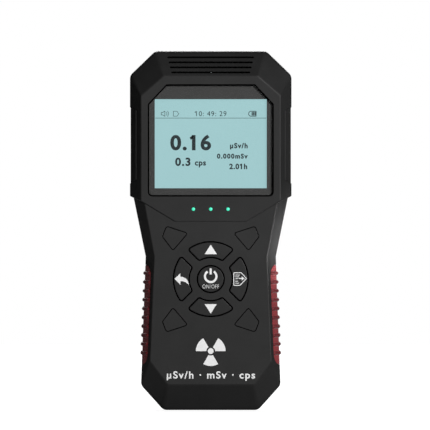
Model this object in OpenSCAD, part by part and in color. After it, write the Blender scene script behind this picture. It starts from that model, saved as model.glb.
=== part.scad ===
// Hand-held Geiger counter, standing on its foot.
// Front face towards -Y, +X to the right seen from the front, +Z up, origin at the centre of the foot.

/* [Case] */
// Overall length, foot to top
case_l = 160; // [158:1:164]
// Overall depth, screen face to back
case_d = 33; // [33:1:36]
// How far the keypad face lies behind the screen face
face_step = 0.5; // [0.3:0.1:0.8]
// Thickness of the moulded walls
wall = 2; // [1.8:0.1:2.2]
// Plane where the two shells meet, measured from mid depth
joint_y = 3; // [3:0.5:4]
// Rounding of the case's outer corners
corner_r = 3.6; // [2:0.2:4]

/* [Head] */
// Width of the head at its side walls
head_w = 72; // [72:0.5:74]
// Width of the flat screen face
head_face_w = 62.2; // [61:0.2:63]
// Height of the head's lower edge at its side walls
head_z = 95.3; // [94.5:0.1:96]
// Height of the cut corners at the top
head_cut = 10.9; // [10:0.1:12]
// Depth of the bevel round the screen face
head_bevel = 8.5; // [8:0.5:9]
// Depth of the inset in each side of the head
inset_depth = 0.3; // [0.2:0.1:0.4]

/* [Handle] */
// Width at the waist
waist_w = 58; // [57:0.5:60]
// Height of the waist
waist_z = 68.5; // [67:0.5:70]
// Width at the foot
foot_w = 62.2; // [61:0.2:64]
// Height of the cut corners at the foot
foot_cut = 11.1; // [10:0.1:12]
// Depth of the bevel round the keypad face
handle_bevel = 7; // [6:0.5:8]

/* [Screen] */
// Width of the display window
window_w = 55.4; // [54.6:0.2:56]
// Height of the display window's lower edge
window_z = 95.4; // [95.2:0.1:96]
// Height of the display window's upper edge
window_top = 144.7; // [144.2:0.1:145]
// Width of the lit screen
screen_w = 49.8; // [49:0.2:50]
// Height of the lit screen's lower edge
screen_z = 98.8; // [98.4:0.1:99.4]
// Height of the lit screen's upper edge
screen_top = 138.4; // [137:0.1:138.4]
// Thickness of the window
window_t = 1.2; // [1:0.1:1.3]

/* [Keys] */
// Height of the centre of the key ring
keys_z = 58.4; // [57:0.2:59]
// Radius of the power key's groove
power_r = 5.97; // [5.6:0.01:6.2]
// Inner radius of the four ring keys
ring_in = 9.6; // [9.4:0.1:9.8]
// Outer radius of the four ring keys
ring_out = 16.6; // [16:0.1:16.8]
// Width of the groove round each key
key_groove = 0.6; // [0.4:0.1:0.7]
// How far a key travels
key_travel = 0.6; // [0.4:0.1:0.7]
// Diameter of each key's switch plunger
plunger_d = 3.4; // [3:0.1:3.6]
// Radial clearance of a plunger in its switch
plunger_gap = 0.05; // [0.03:0.01:0.08]

/* [Grips] */
// Height of each grip's lower end
grip_z = 20.2; // [19.6:0.2:21]
// Height of each grip's upper end
grip_top = 64.8; // [64:0.2:65.4]
// Number of ribs on each grip
ribs = 10; // [6:1:11]
// Distance from rib to rib
rib_pitch = 3.95; // [3.4:0.05:4]
// How far the ribs stand out
rib_h = 0.8; // [0.4:0.1:1]
// How deep the grips sit in the case
grip_t = 1.6; // [1.2:0.1:1.8]

/* [Vents] */
// Number of vent slots
vents = 4; // [3:1:4]
// Distance from slot to slot
vent_pitch = 2.27; // [2.2:0.01:2.4]
// Width of a slot
vent_t = 0.7; // [0.5:0.1:0.9]

/* [Socket cover] */
// Height of the charging socket's centre
port_z = 118; // [116:0.5:120]
// Length of the cover
cover_l = 19.6; // [18:0.2:20]
// Radius of the cover's hinge pin
pin_r = 0.5; // [0.4:0.05:0.5]
// Radial clearance of the cover on its pin
pin_gap = 0.05; // [0.03:0.01:0.08]

/* [Hidden] */
$fn = 48;
hull_fn = 8;            // straight pieces in each rounded corner
eps = 0.02;
land = 0.2;             // straight edge before each bevel starts

front_y = -case_d / 2;              // screen face
back_y = case_d / 2;
keypad_y = front_y + face_step;     // keypad face
head_hw = head_w / 2;
waist_hw = waist_w / 2;
foot_hw = foot_w / 2;
face_inner_y = front_y + wall + 0.6;     // inner face behind the screen face
keypad_inner_y = keypad_y + wall;        // inner face behind the keypad face

// Screen face and keypad face outlines: half widths and heights
head_face_hw = head_face_w / 2;
head_face_top = case_l - 11.3;
head_face_cut_x = 10.1;
head_face_cut_z = 8.8;
head_cut_x = 11.3;
face_waist_hw = waist_hw - 3.85;
face_foot_hw = foot_hw - 4;
face_foot_z = 11.4;
face_foot_cut_x = 7.9;
face_foot_cut_z = 10.6;
foot_cut_x = 10;
neck_top_hw = head_hw - 1.7;
neck_top_z = head_z - 1;
neck_face_hw = head_face_hw - 1.6;
neck_face_z = head_z - 3.7;
visor_z = head_z - 11.4;
visor_hw = 15.8;

// Insets that turn the outer form into the cavity
head_face_in = 0.9;
head_side_in = wall + 0.3;
handle_face_in = wall + 0.8;
handle_side_in = wall + 1.6;

// Screws
case_screw_at = [
    [20.5, case_l - 13.5], [-20.5, case_l - 13.5],
    [25.5, 90.5], [-25.5, 90.5],
    [22.3, 22], [-22.3, 22]
];
screw_seat_y = joint_y + 2.5;
screw_r = 1.05;
screw_head_r = 2.3;
screw_head_h = 1.8;
screw_tip_y = -6;
front_boss_r = 2.7;
rear_boss_r = 3.6;
well_r = 2.8;
board_screw_at = [[18.5, 90.5], [-18.5, 90.5], [15.5, 33], [-15.5, 33]];
board_screw_r = 0.9;

// Board and what is on it
board_y = -6.5;         // front face of the board
board_t = 1.6;
board_back_y = board_y + board_t;
board_hw = 27.2;
board_neck_hw = 22.2;
board_low_hw = 19.4;
lcd_front_y = face_inner_y + 0.1;
lcd_hw = 26.9;
lcd_z = 95.7;
lcd_top = 141.4;
lcd_wall = 0.6;
lcd_glass_t = 1.4;
lcd_back_y = -9;

// Keys: every depth follows from the keypad face and the travel
key_front_y = front_y;
key_flange_gap = 0.1;
key_flange_t = 1;
key_flange_w = 0.9;
key_flange_y = keypad_inner_y + key_flange_gap;
plunger_y = -11.4;      // where stem and plunger meet
plunger_l = 2.8;
switch_y = -10;         // front face of each switch body
switch_w = 6;
key_corner = 1;
key_side_gap = 2.1;     // half the web between two ring keys
switch_ring_r = (ring_in + ring_out) / 2;

// Lights
light_z = head_z - 5.8;
light_pitch = 7.7;
light_r = 0.75;

// Grips: the handle's sides lean by this angle
side_lean = atan((foot_hw - waist_hw) / (waist_z - foot_cut));
grip_front_y = keypad_y + 2;
grip_back_y = back_y - 3.5;
grip_end_r = 5;
rib_top = grip_top - 3.8;
rib_t = 1.6;

// Side insets of the head
inset_front_y = front_y + 3.3;
inset_back_y = back_y - 4;
inset_z = 101;
inset_top = 135;
inset_cut = 1.6;

// Socket cover
pin_x = -(head_hw - 1.5);
pin_y = 0.3;
knuckle_r = 1.2;
cover_front_y = -7.3;
cover_t = 1.3;
cover_play = 0.2;
pad_x = -(head_hw - 3.8);
port_y = -3.3;
socket_w = 9;
socket_t = 3.2;
socket_l = 7.3;

// Geiger tube
tube_r = 5;
tube_y = 3.5;
tube_z = 70;
tube_top = 150;
cap_l = 9;
cap_r = 5.2;

// Battery bay
bay_hw = 18;
bay_z = 18;
bay_top = 66.5;
bay_open_top = 63;
bay_floor_y = 3.6;
bay_wall = 1.2;
cover_hw = 19.5;
cover_z = 11;
cover_top = 65;
cover_ledge_y = back_y - 1;
cover_screw_z = 14.5;
bay_cover_gap = 0.15;

// Vent slots
vent_top_z = case_l - 2.9;
vent_hw = 18.9;
vent_taper = 0.57;

// ---------------------------------------------------------------- outlines

function mirrored(p) = concat(p, [for (i = [len(p) - 1 : -1 : 0]) [-p[i].x, p[i].y, p[i].z]]);
function flat(p) = [p.x, p.y];
function unit(v) = v / norm(v);

// Arc that replaces corner b between its neighbours a and c; the third number of b is its radius
function corner(a, b, c) =
    let (
        u = unit(flat(a) - flat(b)),
        v = unit(flat(c) - flat(b)),
        half = acos(u * v) / 2,
        centre = flat(b) + unit(u + v) * b.z / sin(half),
        from = flat(b) + u * b.z / tan(half) - centre,
        to = flat(b) + v * b.z / tan(half) - centre,
        start = atan2(from.y, from.x),
        turn = atan2(from.x * to.y - from.y * to.x, from * to)
    )
    b.z == 0 ? [flat(b)] :
    [for (i = [0 : hull_fn]) centre + b.z * [cos(start + turn * i / hull_fn), sin(start + turn * i / hull_fn)]];

// Outline with each corner rounded to its own radius
function rounded(p) = [
    for (i = [0 : len(p) - 1])
    each corner(p[(i + len(p) - 1) % len(p)], p[i], p[(i + 1) % len(p)])
];

head_side_line = mirrored([
    [head_hw - head_cut_x, case_l, corner_r],
    [head_hw, case_l - head_cut, corner_r],
    [head_hw, head_z, 0.6],
    [head_hw - 5, head_z - 2.2, 0]
]);
head_face_line = mirrored([
    [head_face_hw - head_face_cut_x, head_face_top, 1],
    [head_face_hw, head_face_top - head_face_cut_z, 1],
    [head_face_hw, head_z - 2.4, 0.5]
]);
head_back_line = mirrored([
    [head_face_hw - head_face_cut_x - 1, case_l - 9, 1],
    [head_face_hw - 1, head_face_top - head_face_cut_z, 1],
    [head_face_hw - 1, head_z - 2.4, 0.5]
]);

// Neck and handle run on past their ends by ext, inside their neighbours; at the waist along their own slope
function neck_line(top_hw, top_z, low_hw, ext) =
    let (slope = (top_hw - low_hw) / (top_z - waist_z))
    mirrored([
        [top_hw, top_z + ext, 0],
        [top_hw, top_z, 0],
        [low_hw - slope * ext, waist_z - ext, 0]
    ]);
function handle_line(top_hw, low_hw, low_z, cut_x, cut_z, r, ext) =
    let (slope = (low_hw - top_hw) / (waist_z - low_z - cut_z))
    mirrored([
        [top_hw - slope * ext, waist_z + ext, 0],
        [low_hw, low_z + cut_z, r],
        [low_hw - cut_x, low_z, r]
    ]);
function handle_side_line(ext) = handle_line(waist_hw, foot_hw, 0, foot_cut_x, foot_cut, corner_r, ext);
function handle_face_line(ext) =
    handle_line(face_waist_hw, face_foot_hw, face_foot_z, face_foot_cut_x, face_foot_cut_z, 1.5, ext);
function handle_back_line(ext) =
    handle_line(face_waist_hw - 1, face_foot_hw - 1, 8, face_foot_cut_x, face_foot_cut_z, 1.5, ext);

// ---------------------------------------------------------------- placing

// Extrudes a front-view outline (x, z) from depth y0 to depth y1
module slab(y0, y1) {
    translate([0, y1, 0]) rotate([90, 0, 0]) linear_extrude(y1 - y0) children();
}

// Extrudes a side-view outline (y, z) from x0 to x1
module side_slab(x0, x1) {
    translate([x0, 0, 0]) rotate([90, 0, 90]) linear_extrude(x1 - x0) children();
}

// Round bar along the depth, at x and z
module rod(at, y0, y1, r) {
    translate([at.x, y1, at.y]) rotate([90, 0, 0]) cylinder(h = y1 - y0, r = r);
}

module block(x0, x1, y0, y1, z0, z1) {
    translate([x0, y0, z0]) cube([x1 - x0, y1 - y0, z1 - z0]);
}

module outline(p, grow = 0) {
    if (grow == 0) polygon(rounded(p));
    else offset(delta = grow) polygon(rounded(p));
}

// One block of the case: its face outline, its side outline and the depths between which it runs
module half_block(face_y, bevel_y, end_y, face, side, face_in, side_in) {
    lo = min(face_y, face_y + sign(end_y - face_y) * land);
    hull() {
        slab(lo, lo + land) outline(face, -face_in);
        slab(min(bevel_y, end_y), max(bevel_y, end_y)) outline(side, -side_in);
    }
}

// Front half of the case, solid; inset > 0 gives the cavity
module front_form(cavity = false) {
    end = cavity ? joint_y + eps : joint_y;
    ext = cavity ? 6 : 3;
    half_block(cavity ? face_inner_y : front_y, front_y + head_bevel, end, head_face_line, head_side_line,
        cavity ? head_face_in : 0, cavity ? head_side_in : 0);
    half_block(cavity ? keypad_inner_y : keypad_y, keypad_y + handle_bevel, end,
        neck_line(neck_face_hw, neck_face_z, face_waist_hw, ext),
        neck_line(neck_top_hw, neck_top_z, waist_hw, ext),
        cavity ? handle_face_in : 0, cavity ? handle_side_in : 0);
    half_block(cavity ? keypad_inner_y : keypad_y, keypad_y + handle_bevel, end,
        handle_face_line(ext), handle_side_line(ext),
        cavity ? handle_face_in : 0, cavity ? handle_side_in : 0);
}

module rear_form(cavity = false) {
    end = cavity ? joint_y - eps : joint_y;
    face = cavity ? back_y - wall : back_y;
    ext = cavity ? 6 : 3;
    half_block(face, back_y - head_bevel, end, head_back_line, head_side_line,
        cavity ? head_face_in : 0, cavity ? head_side_in : 0);
    half_block(face, back_y - handle_bevel, end,
        neck_line(neck_face_hw - 1, neck_face_z, face_waist_hw - 1, ext),
        neck_line(neck_top_hw, neck_top_z, waist_hw, ext),
        cavity ? handle_face_in : 0, cavity ? handle_side_in : 0);
    half_block(face, back_y - handle_bevel, end, handle_back_line(ext), handle_side_line(ext),
        cavity ? handle_face_in : 0, cavity ? handle_side_in : 0);
}

// ---------------------------------------------------------------- shared outlines

module window_outline(grow) {
    offset(delta = grow) outline(mirrored([
        [window_w / 2 - 8.1, window_top, 0.8],
        [window_w / 2, window_top - 8.6, 0.8],
        [window_w / 2, window_z, 1.8]
    ]));
}

module screen_outline(grow) {
    translate([-screen_w / 2 - grow, screen_z - grow])
        square([screen_w + 2 * grow, screen_top - screen_z + 2 * grow]);
}

// Ring key seen from the front, pointing along angle a, grown from the centre line of its groove
module ring_key_outline(a, grow) {
    apex = key_side_gap * sqrt(2);
    translate([0, keys_z]) rotate(a)
        offset(r = key_corner + grow, $fn = 32) offset(delta = -key_corner) intersection() {
            difference() {
                circle(r = ring_out, $fn = 120);
                circle(r = ring_in, $fn = 90);
            }
            polygon([[apex, 0], [apex + ring_out, ring_out], [apex + ring_out, -ring_out]]);
        }
}

module kite_outline(grow) {
    offset(delta = grow) outline([
        [19.7, 23.5, 1.1], [10.2, 20.4, 0.8], [16.8, 12.7, 0.8], [21.5, 18.9, 1.1]
    ]);
}

// Cross-section of one side of the handle at its waist, from grow outside the skin to deep inside it
module grip_section(grow, deep) {
    slope = (waist_hw - face_waist_hw) / handle_bevel;
    front_x = waist_hw - slope * (keypad_y + handle_bevel - grip_front_y);
    back_x = waist_hw - (waist_hw - face_waist_hw + 1) / handle_bevel
        * (grip_back_y - (back_y - handle_bevel));
    polygon([
        [front_x + grow, grip_front_y],
        [waist_hw + grow, keypad_y + handle_bevel],
        [waist_hw + grow, back_y - handle_bevel],
        [back_x + grow, grip_back_y],
        [back_x - deep, grip_back_y],
        [waist_hw - deep, back_y - handle_bevel - 0.5],
        [waist_hw - deep, keypad_y + handle_bevel + 0.5],
        [front_x - deep, grip_front_y]
    ]);
}

// Bar with a grip section, leaning with the handle's side, between two heights
module grip_bar(z0, z1, grow, deep) {
    translate([waist_hw, 0, waist_z]) rotate([0, -side_lean, 0])
        translate([-waist_hw, 0, z0 - waist_z]) linear_extrude(z1 - z0) grip_section(grow, deep);
}

module grip_end_outline() {
    outline([
        [grip_front_y, grip_z, grip_end_r], [grip_back_y, grip_z, grip_end_r],
        [grip_back_y, grip_top, grip_end_r], [grip_front_y, grip_top, grip_end_r]
    ]);
}

module right_grip_solid() {
    intersection() {
        union() {
            grip_bar(grip_z - 1, grip_top + 1, 0, grip_t);
            for (i = [0 : ribs - 1])
                grip_bar(rib_top - i * rib_pitch - rib_t / 2, rib_top - i * rib_pitch + rib_t / 2, rib_h, 0.4);
        }
        side_slab(0, head_hw) grip_end_outline();
    }
}

// What the right grip's seat removes from the case
module right_grip_cut() {
    intersection() {
        grip_bar(grip_z - 1, grip_top + 1, 2, grip_t);
        side_slab(0, head_hw) grip_end_outline();
    }
}

// What the inset removes from the right side of the head
module right_inset_cut() {
    slope = (head_hw - head_face_hw) / head_bevel;
    out = head_hw + 2;
    intersection() {
        translate([0, 0, inset_z - 1]) linear_extrude(inset_top - inset_z + 2) polygon([
            [head_face_hw - inset_depth, front_y],
            [head_hw - inset_depth, front_y + head_bevel],
            [head_hw - inset_depth, back_y - head_bevel],
            [head_hw - slope * head_bevel - 1 - inset_depth, back_y],
            [out, back_y],
            [out, front_y]
        ]);
        side_slab(0, out + 1) outline([
            [inset_front_y, inset_z + inset_cut, 3], [inset_front_y + 4.8, inset_z, 1],
            [inset_back_y - 4.8, inset_z, 1], [inset_back_y, inset_z + inset_cut, 3],
            [inset_back_y, inset_top - inset_cut, 1], [inset_back_y - 4.8, inset_top, 1],
            [inset_front_y + 4.8, inset_top, 1], [inset_front_y, inset_top - inset_cut, 1]
        ]);
    }
}

module side_cuts() {
    for (m = [0, 1]) mirror([m, 0, 0]) {
        right_inset_cut();
        right_grip_cut();
    }
}

// Seal groove: closed ring that follows the cavity at the joint plane
module gasket_ring() {
    slab(joint_y - 0.6, joint_y + 0.6) difference() {
        offset(delta = 0.95) cavity_plan();
        offset(delta = 0.15) cavity_plan();
    }
}

module cavity_plan() {
    outline(head_side_line, -head_side_in);
    outline(neck_line(neck_top_hw, neck_top_z, waist_hw, 6), -handle_side_in);
    outline(handle_side_line(6), -handle_side_in);
}

// ---------------------------------------------------------------- shells

module front_shell() {
    color("#343434") difference() {
        union() {
            difference() {
                union() {
                    front_form();
                    slab(front_y, keypad_y + 1) outline(mirrored([
                        [neck_face_hw + 0.3, head_z - 2, 0],
                        [neck_face_hw + 0.3, head_z - 3, 0.5],
                        [visor_hw, visor_z, 1]
                    ]));
                }
                front_form(cavity = true);
            }
            intersection() {
                union() {
                    for (p = case_screw_at) rod(p, face_inner_y - 0.5, joint_y, front_boss_r);
                    for (p = board_screw_at) rod(p, face_inner_y - 0.5, board_y, 2.5);
                }
                slab(face_inner_y - 0.5, joint_y) boss_plan();
            }
            block(pad_x - 2, pad_x, cover_front_y - 2, joint_y - 0.8, port_z - 13.5, port_z + 13.5);
        }
        slab(front_y - 1, front_y + window_t + 0.3) window_outline(key_groove / 2);
        slab(front_y, face_inner_y + 1) intersection() {
            window_outline(-0.35);
            screen_outline(0.5);
        }
        for (a = [0 : 90 : 270]) slab(front_y - 1, keypad_inner_y + 0.5) ring_key_outline(a, key_groove / 2);
        rod([0, keys_z], front_y - 1, keypad_inner_y + 0.5, power_r + key_groove / 2);
        for (i = [-1 : 1]) rod([i * light_pitch, light_z], front_y - 1, face_inner_y + 1, light_r);
        kite_grooves();
        vent_slots();
        side_cuts();
        gasket_ring();
        for (p = case_screw_at) rod(p, screw_tip_y - 1, joint_y + 1, screw_r);
        for (p = board_screw_at) rod(p, board_y - 5, board_y + 1, board_screw_r);
        cover_pocket();
    }
}

// Region in which bosses may reach the inside of the front wall
module boss_plan() {
    outline(head_face_line, -1);
    outline(neck_line(neck_face_hw, neck_face_z, face_waist_hw, 1), -0.5);
    outline(handle_face_line(1), 0.6);
}

module kite_grooves() {
    slab(keypad_y - 1, keypad_y + 0.3)
        for (mx = [0, 1], mz = [0, 1]) translate([0, keys_z]) mirror([mx, 0]) mirror([0, mz])
            difference() {
                kite_outline(0.2);
                kite_outline(-0.2);
            }
}

module vent_slots() {
    slab(front_y - 1, front_y + head_bevel + 6)
        for (i = [0 : vents - 1]) translate([0, vent_top_z - i * vent_pitch]) {
            half = vent_hw - i * vent_taper;
            square([2 * half, vent_t], center = true);
            for (s = [-1, 1]) translate([s * half, 0]) circle(d = vent_t);
        }
}

module cover_pocket() {
    z0 = port_z - cover_l / 2 - cover_play;
    z1 = port_z + cover_l / 2 + cover_play;
    block(-head_hw - 1, pin_x + 0.25, cover_front_y - cover_play, pin_y, z0, z1);
    block(-head_hw - 1, pin_x, pin_y - eps, pin_y + knuckle_r + 0.15, z0, z1);
    translate([pin_x, pin_y, z0]) cylinder(h = z1 - z0, r = knuckle_r + 0.15);
    translate([pin_x, pin_y, z0 - 2.5]) cylinder(h = z1 - z0 + 5, r = pin_r);
    block(-head_hw - 1, pad_x + 1, port_y - 2, port_y + 2, port_z - 5, port_z + 5);
    translate([-head_hw - 0.4, cover_front_y - 0.4, port_z - 4]) cylinder(h = 8, r = 1.5);
}

module rear_shell() {
    color("#303030") difference() {
        union() {
            difference() {
                rear_form();
                rear_form(cavity = true);
            }
            for (p = case_screw_at) rod(p, joint_y, back_y - wall + 0.5, rear_boss_r);
            block(-bay_hw - bay_wall, bay_hw + bay_wall, bay_floor_y - bay_wall, back_y - wall + 0.5,
                bay_z - bay_wall, bay_top + bay_wall);
            rod([0, cover_screw_z], 6, back_y - wall + 0.5, 4);
            rod([0, cover_screw_z], back_y - 4, back_y - 0.5, 4.2);
        }
        block(-bay_hw, bay_hw, bay_floor_y, back_y - wall, bay_z, bay_top);
        block(-bay_hw, bay_hw, bay_floor_y, back_y + 1, bay_z, bay_open_top);
        slab(cover_ledge_y, back_y + 1) cover_outline(bay_cover_gap);
        rod([0, cover_screw_z], back_y - 2.2, back_y + 1, 3.6);
        rod([0, cover_screw_z], 8.5, back_y, 1);
        for (s = [-1, 1]) block(s * 10 - 2.4, s * 10 + 2.4, bay_floor_y - bay_wall - 1, bay_floor_y + 1, 22, 26);
        for (p = case_screw_at) {
            rod(p, screw_seat_y, back_y + 1, well_r);
            rod(p, joint_y - 1, screw_seat_y + 1, 1.3);
        }
        slab(back_y - 0.4, back_y + 1) outline(label_line());
        side_cuts();
        gasket_ring();
    }
}

// Blank recess for a label on the back of the head
function label_line() = mirrored([[22, 132, 1.5], [22, 98, 1.5]]);

module cover_outline(grow) {
    offset(delta = grow) outline(mirrored([[cover_hw, cover_top, 1.5], [cover_hw, cover_z, 1.5]]));
}

module case_gasket() {
    color("#1c1c1c") gasket_ring();
}

module right_grip() {
    color("#7d2126") right_grip_solid();
}

module left_grip() {
    color("#7d2126") mirror([1, 0, 0]) right_grip_solid();
}

// Pan-head screw along the depth with a cross recess; its head faces +Y
module screw(at, seat_y, tip_y, r, head_r, head_h) {
    difference() {
        union() {
            rod(at, tip_y, seat_y, r);
            rod(at, seat_y, seat_y + head_h, head_r);
        }
        for (a = [0, 90]) translate([at.x, seat_y + head_h, at.y]) rotate([0, a, 0])
            cube([head_r * 1.3, head_h, 0.5], center = true);
    }
}

module case_screws() {
    color("silver") for (p = case_screw_at)
        screw(p, screw_seat_y, screw_tip_y, screw_r, screw_head_r, screw_head_h);
}

// ---------------------------------------------------------------- screen

module display_window() {
    color("#46464480") slab(front_y, front_y + window_t) window_outline(-key_groove / 2);
}

module display_mask() {
    color("#464645") slab(front_y + window_t, front_y + window_t + 0.3) difference() {
        window_outline(-key_groove / 2);
        screen_outline(0);
    }
}

module lcd_glass() {
    color("#a0cacd") block(-lcd_hw + lcd_wall, lcd_hw - lcd_wall, lcd_front_y, lcd_front_y + lcd_glass_t,
        lcd_z + lcd_wall, lcd_top - lcd_wall);
}

module lcd_frame() {
    color("#c8c8c4") difference() {
        block(-lcd_hw, lcd_hw, lcd_front_y, lcd_back_y, lcd_z, lcd_top);
        block(-lcd_hw + lcd_wall, lcd_hw - lcd_wall, lcd_front_y - 1, lcd_back_y - lcd_wall,
            lcd_z + lcd_wall, lcd_top - lcd_wall);
    }
}

module backlight_panel() {
    color("#f4f8f6") block(-lcd_hw + lcd_wall, lcd_hw - lcd_wall, lcd_front_y + lcd_glass_t,
        lcd_back_y - lcd_wall, lcd_z + lcd_wall, lcd_top - lcd_wall);
}

module lcd_header() {
    color("#1d1d1d") block(-20, 20, lcd_back_y, board_y, lcd_top - 3, lcd_top - 0.5);
}

// Light pipes of the three indicator lights
module indicator_lenses() {
    color("#4fe6bd") for (i = [-1 : 1]) {
        rod([i * light_pitch, light_z], front_y, face_inner_y, light_r);
        rod([i * light_pitch, light_z], face_inner_y, board_y - 2, light_r + 0.6);
    }
}

module status_leds() {
    color("#d8efe6") for (i = [-1 : 1]) rod([i * light_pitch, light_z], board_y - 1.9, board_y, 1);
}

// ---------------------------------------------------------------- electronics

// Dust mesh on the inside of the top bevel
module vent_mesh() {
    rise = case_l - head_side_in - (head_face_top - head_face_in);
    run = front_y + head_bevel - face_inner_y;
    lean = atan2(rise, run);
    color("#151515") translate([0, face_inner_y, head_face_top - head_face_in]) rotate([lean, 0, 0])
        translate([-21, 0.8, -0.45]) difference() {
            cube([42, norm([rise, run]) - 1.6, 0.35]);
            for (i = [0 : 15]) translate([1.2 + i * 2.5, 1.5, -1]) cube([1.6, norm([rise, run]) - 4.6, 2]);
        }
}

module main_board() {
    color("#1f6b3a") difference() {
        slab(board_y, board_back_y) outline(mirrored([
            [board_hw - 4, 143, 1], [board_hw, 139, 1], [board_hw, 98, 1], [board_neck_hw, 94, 1],
            [board_neck_hw, 84, 1], [board_low_hw, 80, 1], [board_low_hw, 17.5, 2]
        ]));
        for (p = board_screw_at) rod(p, board_y - 1, board_back_y + 1, 1.1);
    }
}

module board_screws() {
    color("silver") for (p = board_screw_at)
        screw(p, board_back_y, board_y - 4, board_screw_r, 1.8, 1.3);
}

module processor_chip() {
    color("#191919") block(12, 22, board_back_y, board_back_y + 1.4, 104, 114);
}

module geiger_tube() {
    color("#b9c4c8") translate([0, tube_y, tube_z + cap_l - 1])
        cylinder(h = tube_top - tube_z - 2 * cap_l + 2, r = tube_r);
}

// Metal caps, each with a socket for the glass and a contact pin
module tube_end_caps() {
    color("#cfd2d4") for (m = [0, 1])
        translate([0, tube_y, m == 0 ? tube_z : tube_top]) mirror([0, 0, m]) difference() {
            union() {
                cylinder(h = cap_l, r = cap_r);
                translate([0, 0, -1.8]) cylinder(h = 2, r = 0.8);
            }
            translate([0, 0, cap_l - 1]) cylinder(h = 2, r = tube_r);
        }
}

// Spring clips that hold the tube's caps to the board
module tube_clips() {
    color("#c9b26a") for (z = [tube_z + 2, tube_top - 6]) difference() {
        union() {
            translate([0, tube_y, z]) cylinder(h = 4, r = cap_r + 0.7);
            block(-3, 3, board_back_y, tube_y - cap_r, z, z + 4);
        }
        translate([0, tube_y, z - 1]) cylinder(h = 6, r = cap_r);
        block(-3.6, 3.6, tube_y, tube_y + 8, z - 1, z + 5);
    }
}

module hv_module() {
    color("#22262c") block(-23, -8, board_back_y, board_back_y + 9, 124, 142);
}

module buzzer() {
    color("#161616") difference() {
        rod([17, 134], board_back_y, board_back_y + 5.5, 6);
        rod([17, 134], board_back_y + 4.5, board_back_y + 6, 1);
    }
}

module charging_socket() {
    x1 = pad_x + 0.1;
    color("silver") difference() {
        block(x1, x1 + socket_l, board_back_y, board_back_y + socket_t, port_z - socket_w / 2,
            port_z + socket_w / 2);
        difference() {
            block(x1 - 1, x1 + 5.8, board_back_y + 0.3, board_back_y + socket_t - 0.3,
                port_z - socket_w / 2 + 0.3, port_z + socket_w / 2 - 0.3);
            block(x1 + 0.8, x1 + 6.5, board_back_y + socket_t / 2 - 0.35, board_back_y + socket_t / 2 + 0.35,
                port_z - 3.2, port_z + 3.2);
        }
    }
}

// ---------------------------------------------------------------- battery

module battery() {
    color("#2f5f9e") slab(bay_floor_y + 0.6, back_y - wall - 0.6) outline(mirrored([
        [bay_hw - 1, 61.5, 1.5], [bay_hw - 1, 20, 1.5]
    ]));
}

// Sprung contact blades through the bay's floor
module battery_contacts() {
    color("#d2ad4c") for (s = [-1, 1])
        block(s * 10 - 1.5, s * 10 + 1.5, board_back_y, bay_floor_y + 0.6, 23, 25);
}

module battery_cover() {
    color("#2e2e2e") difference() {
        union() {
            slab(cover_ledge_y, back_y) cover_outline(0);
            block(-bay_hw + 0.2, bay_hw - 0.2, back_y - wall + 0.1, cover_ledge_y, bay_z + 0.2,
                bay_open_top - 0.2);
            for (s = [-1, 1])
                block(s * 10 - 3, s * 10 + 3, back_y - wall - 0.55, back_y - wall + 0.2, bay_open_top - 2,
                    bay_top - 0.8);
            rod([0, cover_screw_z], back_y - 2.2, back_y, 3.4);
        }
        for (s = [-1, 1]) block(s * 10 - 4, s * 10 + 4, back_y - wall - 0.1, back_y - 1, bay_open_top - 0.4,
            bay_top);
        rod([0, cover_screw_z], back_y - 3, back_y + 1, 1.3);
        rod([0, cover_screw_z], back_y - 1.2, back_y + 1, 2.4);
        for (i = [0 : 4]) block(-8, 8, back_y - 0.3, back_y + 1, 56 + i * 1.4, 56.6 + i * 1.4);
    }
}

module battery_cover_screw() {
    color("silver") screw([0, cover_screw_z], back_y - 1.2, 9, 1, 2.2, 1.1);
}

// ---------------------------------------------------------------- socket cover

module socket_cover() {
    z0 = port_z - cover_l / 2;
    color("#1b1b1b") difference() {
        union() {
            block(pin_x - knuckle_r, pin_x - knuckle_r + cover_t, cover_front_y, pin_y, z0, z0 + cover_l);
            translate([pin_x, pin_y, z0]) cylinder(h = cover_l, r = knuckle_r);
            block(pin_x, pin_x + 1.1, port_y - 1.65, port_y + 1.65, port_z - 4.5, port_z + 4.5);
        }
        translate([pin_x, pin_y, z0 - 1]) cylinder(h = cover_l + 2, r = pin_r + pin_gap);
    }
}

module socket_cover_pin() {
    color("silver") translate([pin_x, pin_y, port_z - cover_l / 2 - cover_play - 2.5])
        cylinder(h = cover_l + 2 * cover_play + 5, r = pin_r);
}

// ---------------------------------------------------------------- keys

// Switch centre for a ring key that points along angle a
function ring_at(a) = [switch_ring_r * cos(a), keys_z + switch_ring_r * sin(a)];
power_at = [0, keys_z];

module ring_key(a) {
    color("#343434") {
        slab(key_front_y, key_flange_y + key_flange_t) ring_key_outline(a, -key_groove / 2);
        slab(key_flange_y, key_flange_y + key_flange_t) ring_key_outline(a, key_groove / 2 + key_flange_w);
        rod(ring_at(a), key_flange_y, plunger_y, plunger_d / 2);
    }
}

module power_key() {
    color("#343434") {
        rod(power_at, key_front_y, key_flange_y + key_flange_t, power_r - key_groove / 2);
        rod(power_at, key_flange_y, key_flange_y + key_flange_t, power_r + key_groove / 2 + key_flange_w);
        rod(power_at, key_flange_y, plunger_y, plunger_d / 2);
    }
}

module plunger(at) {
    color("#111111") rod(at, plunger_y, plunger_y + plunger_l, plunger_d / 2);
}

module key_switches() {
    color("#8c8f92") for (p = concat([power_at], [for (a = [0 : 90 : 270]) ring_at(a)])) difference() {
        block(p.x - switch_w / 2, p.x + switch_w / 2, switch_y, board_y, p.y - switch_w / 2,
            p.y + switch_w / 2);
        rod(p, switch_y - 1, plunger_y + plunger_l + key_travel + 0.2, plunger_d / 2 + plunger_gap);
    }
}

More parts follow.
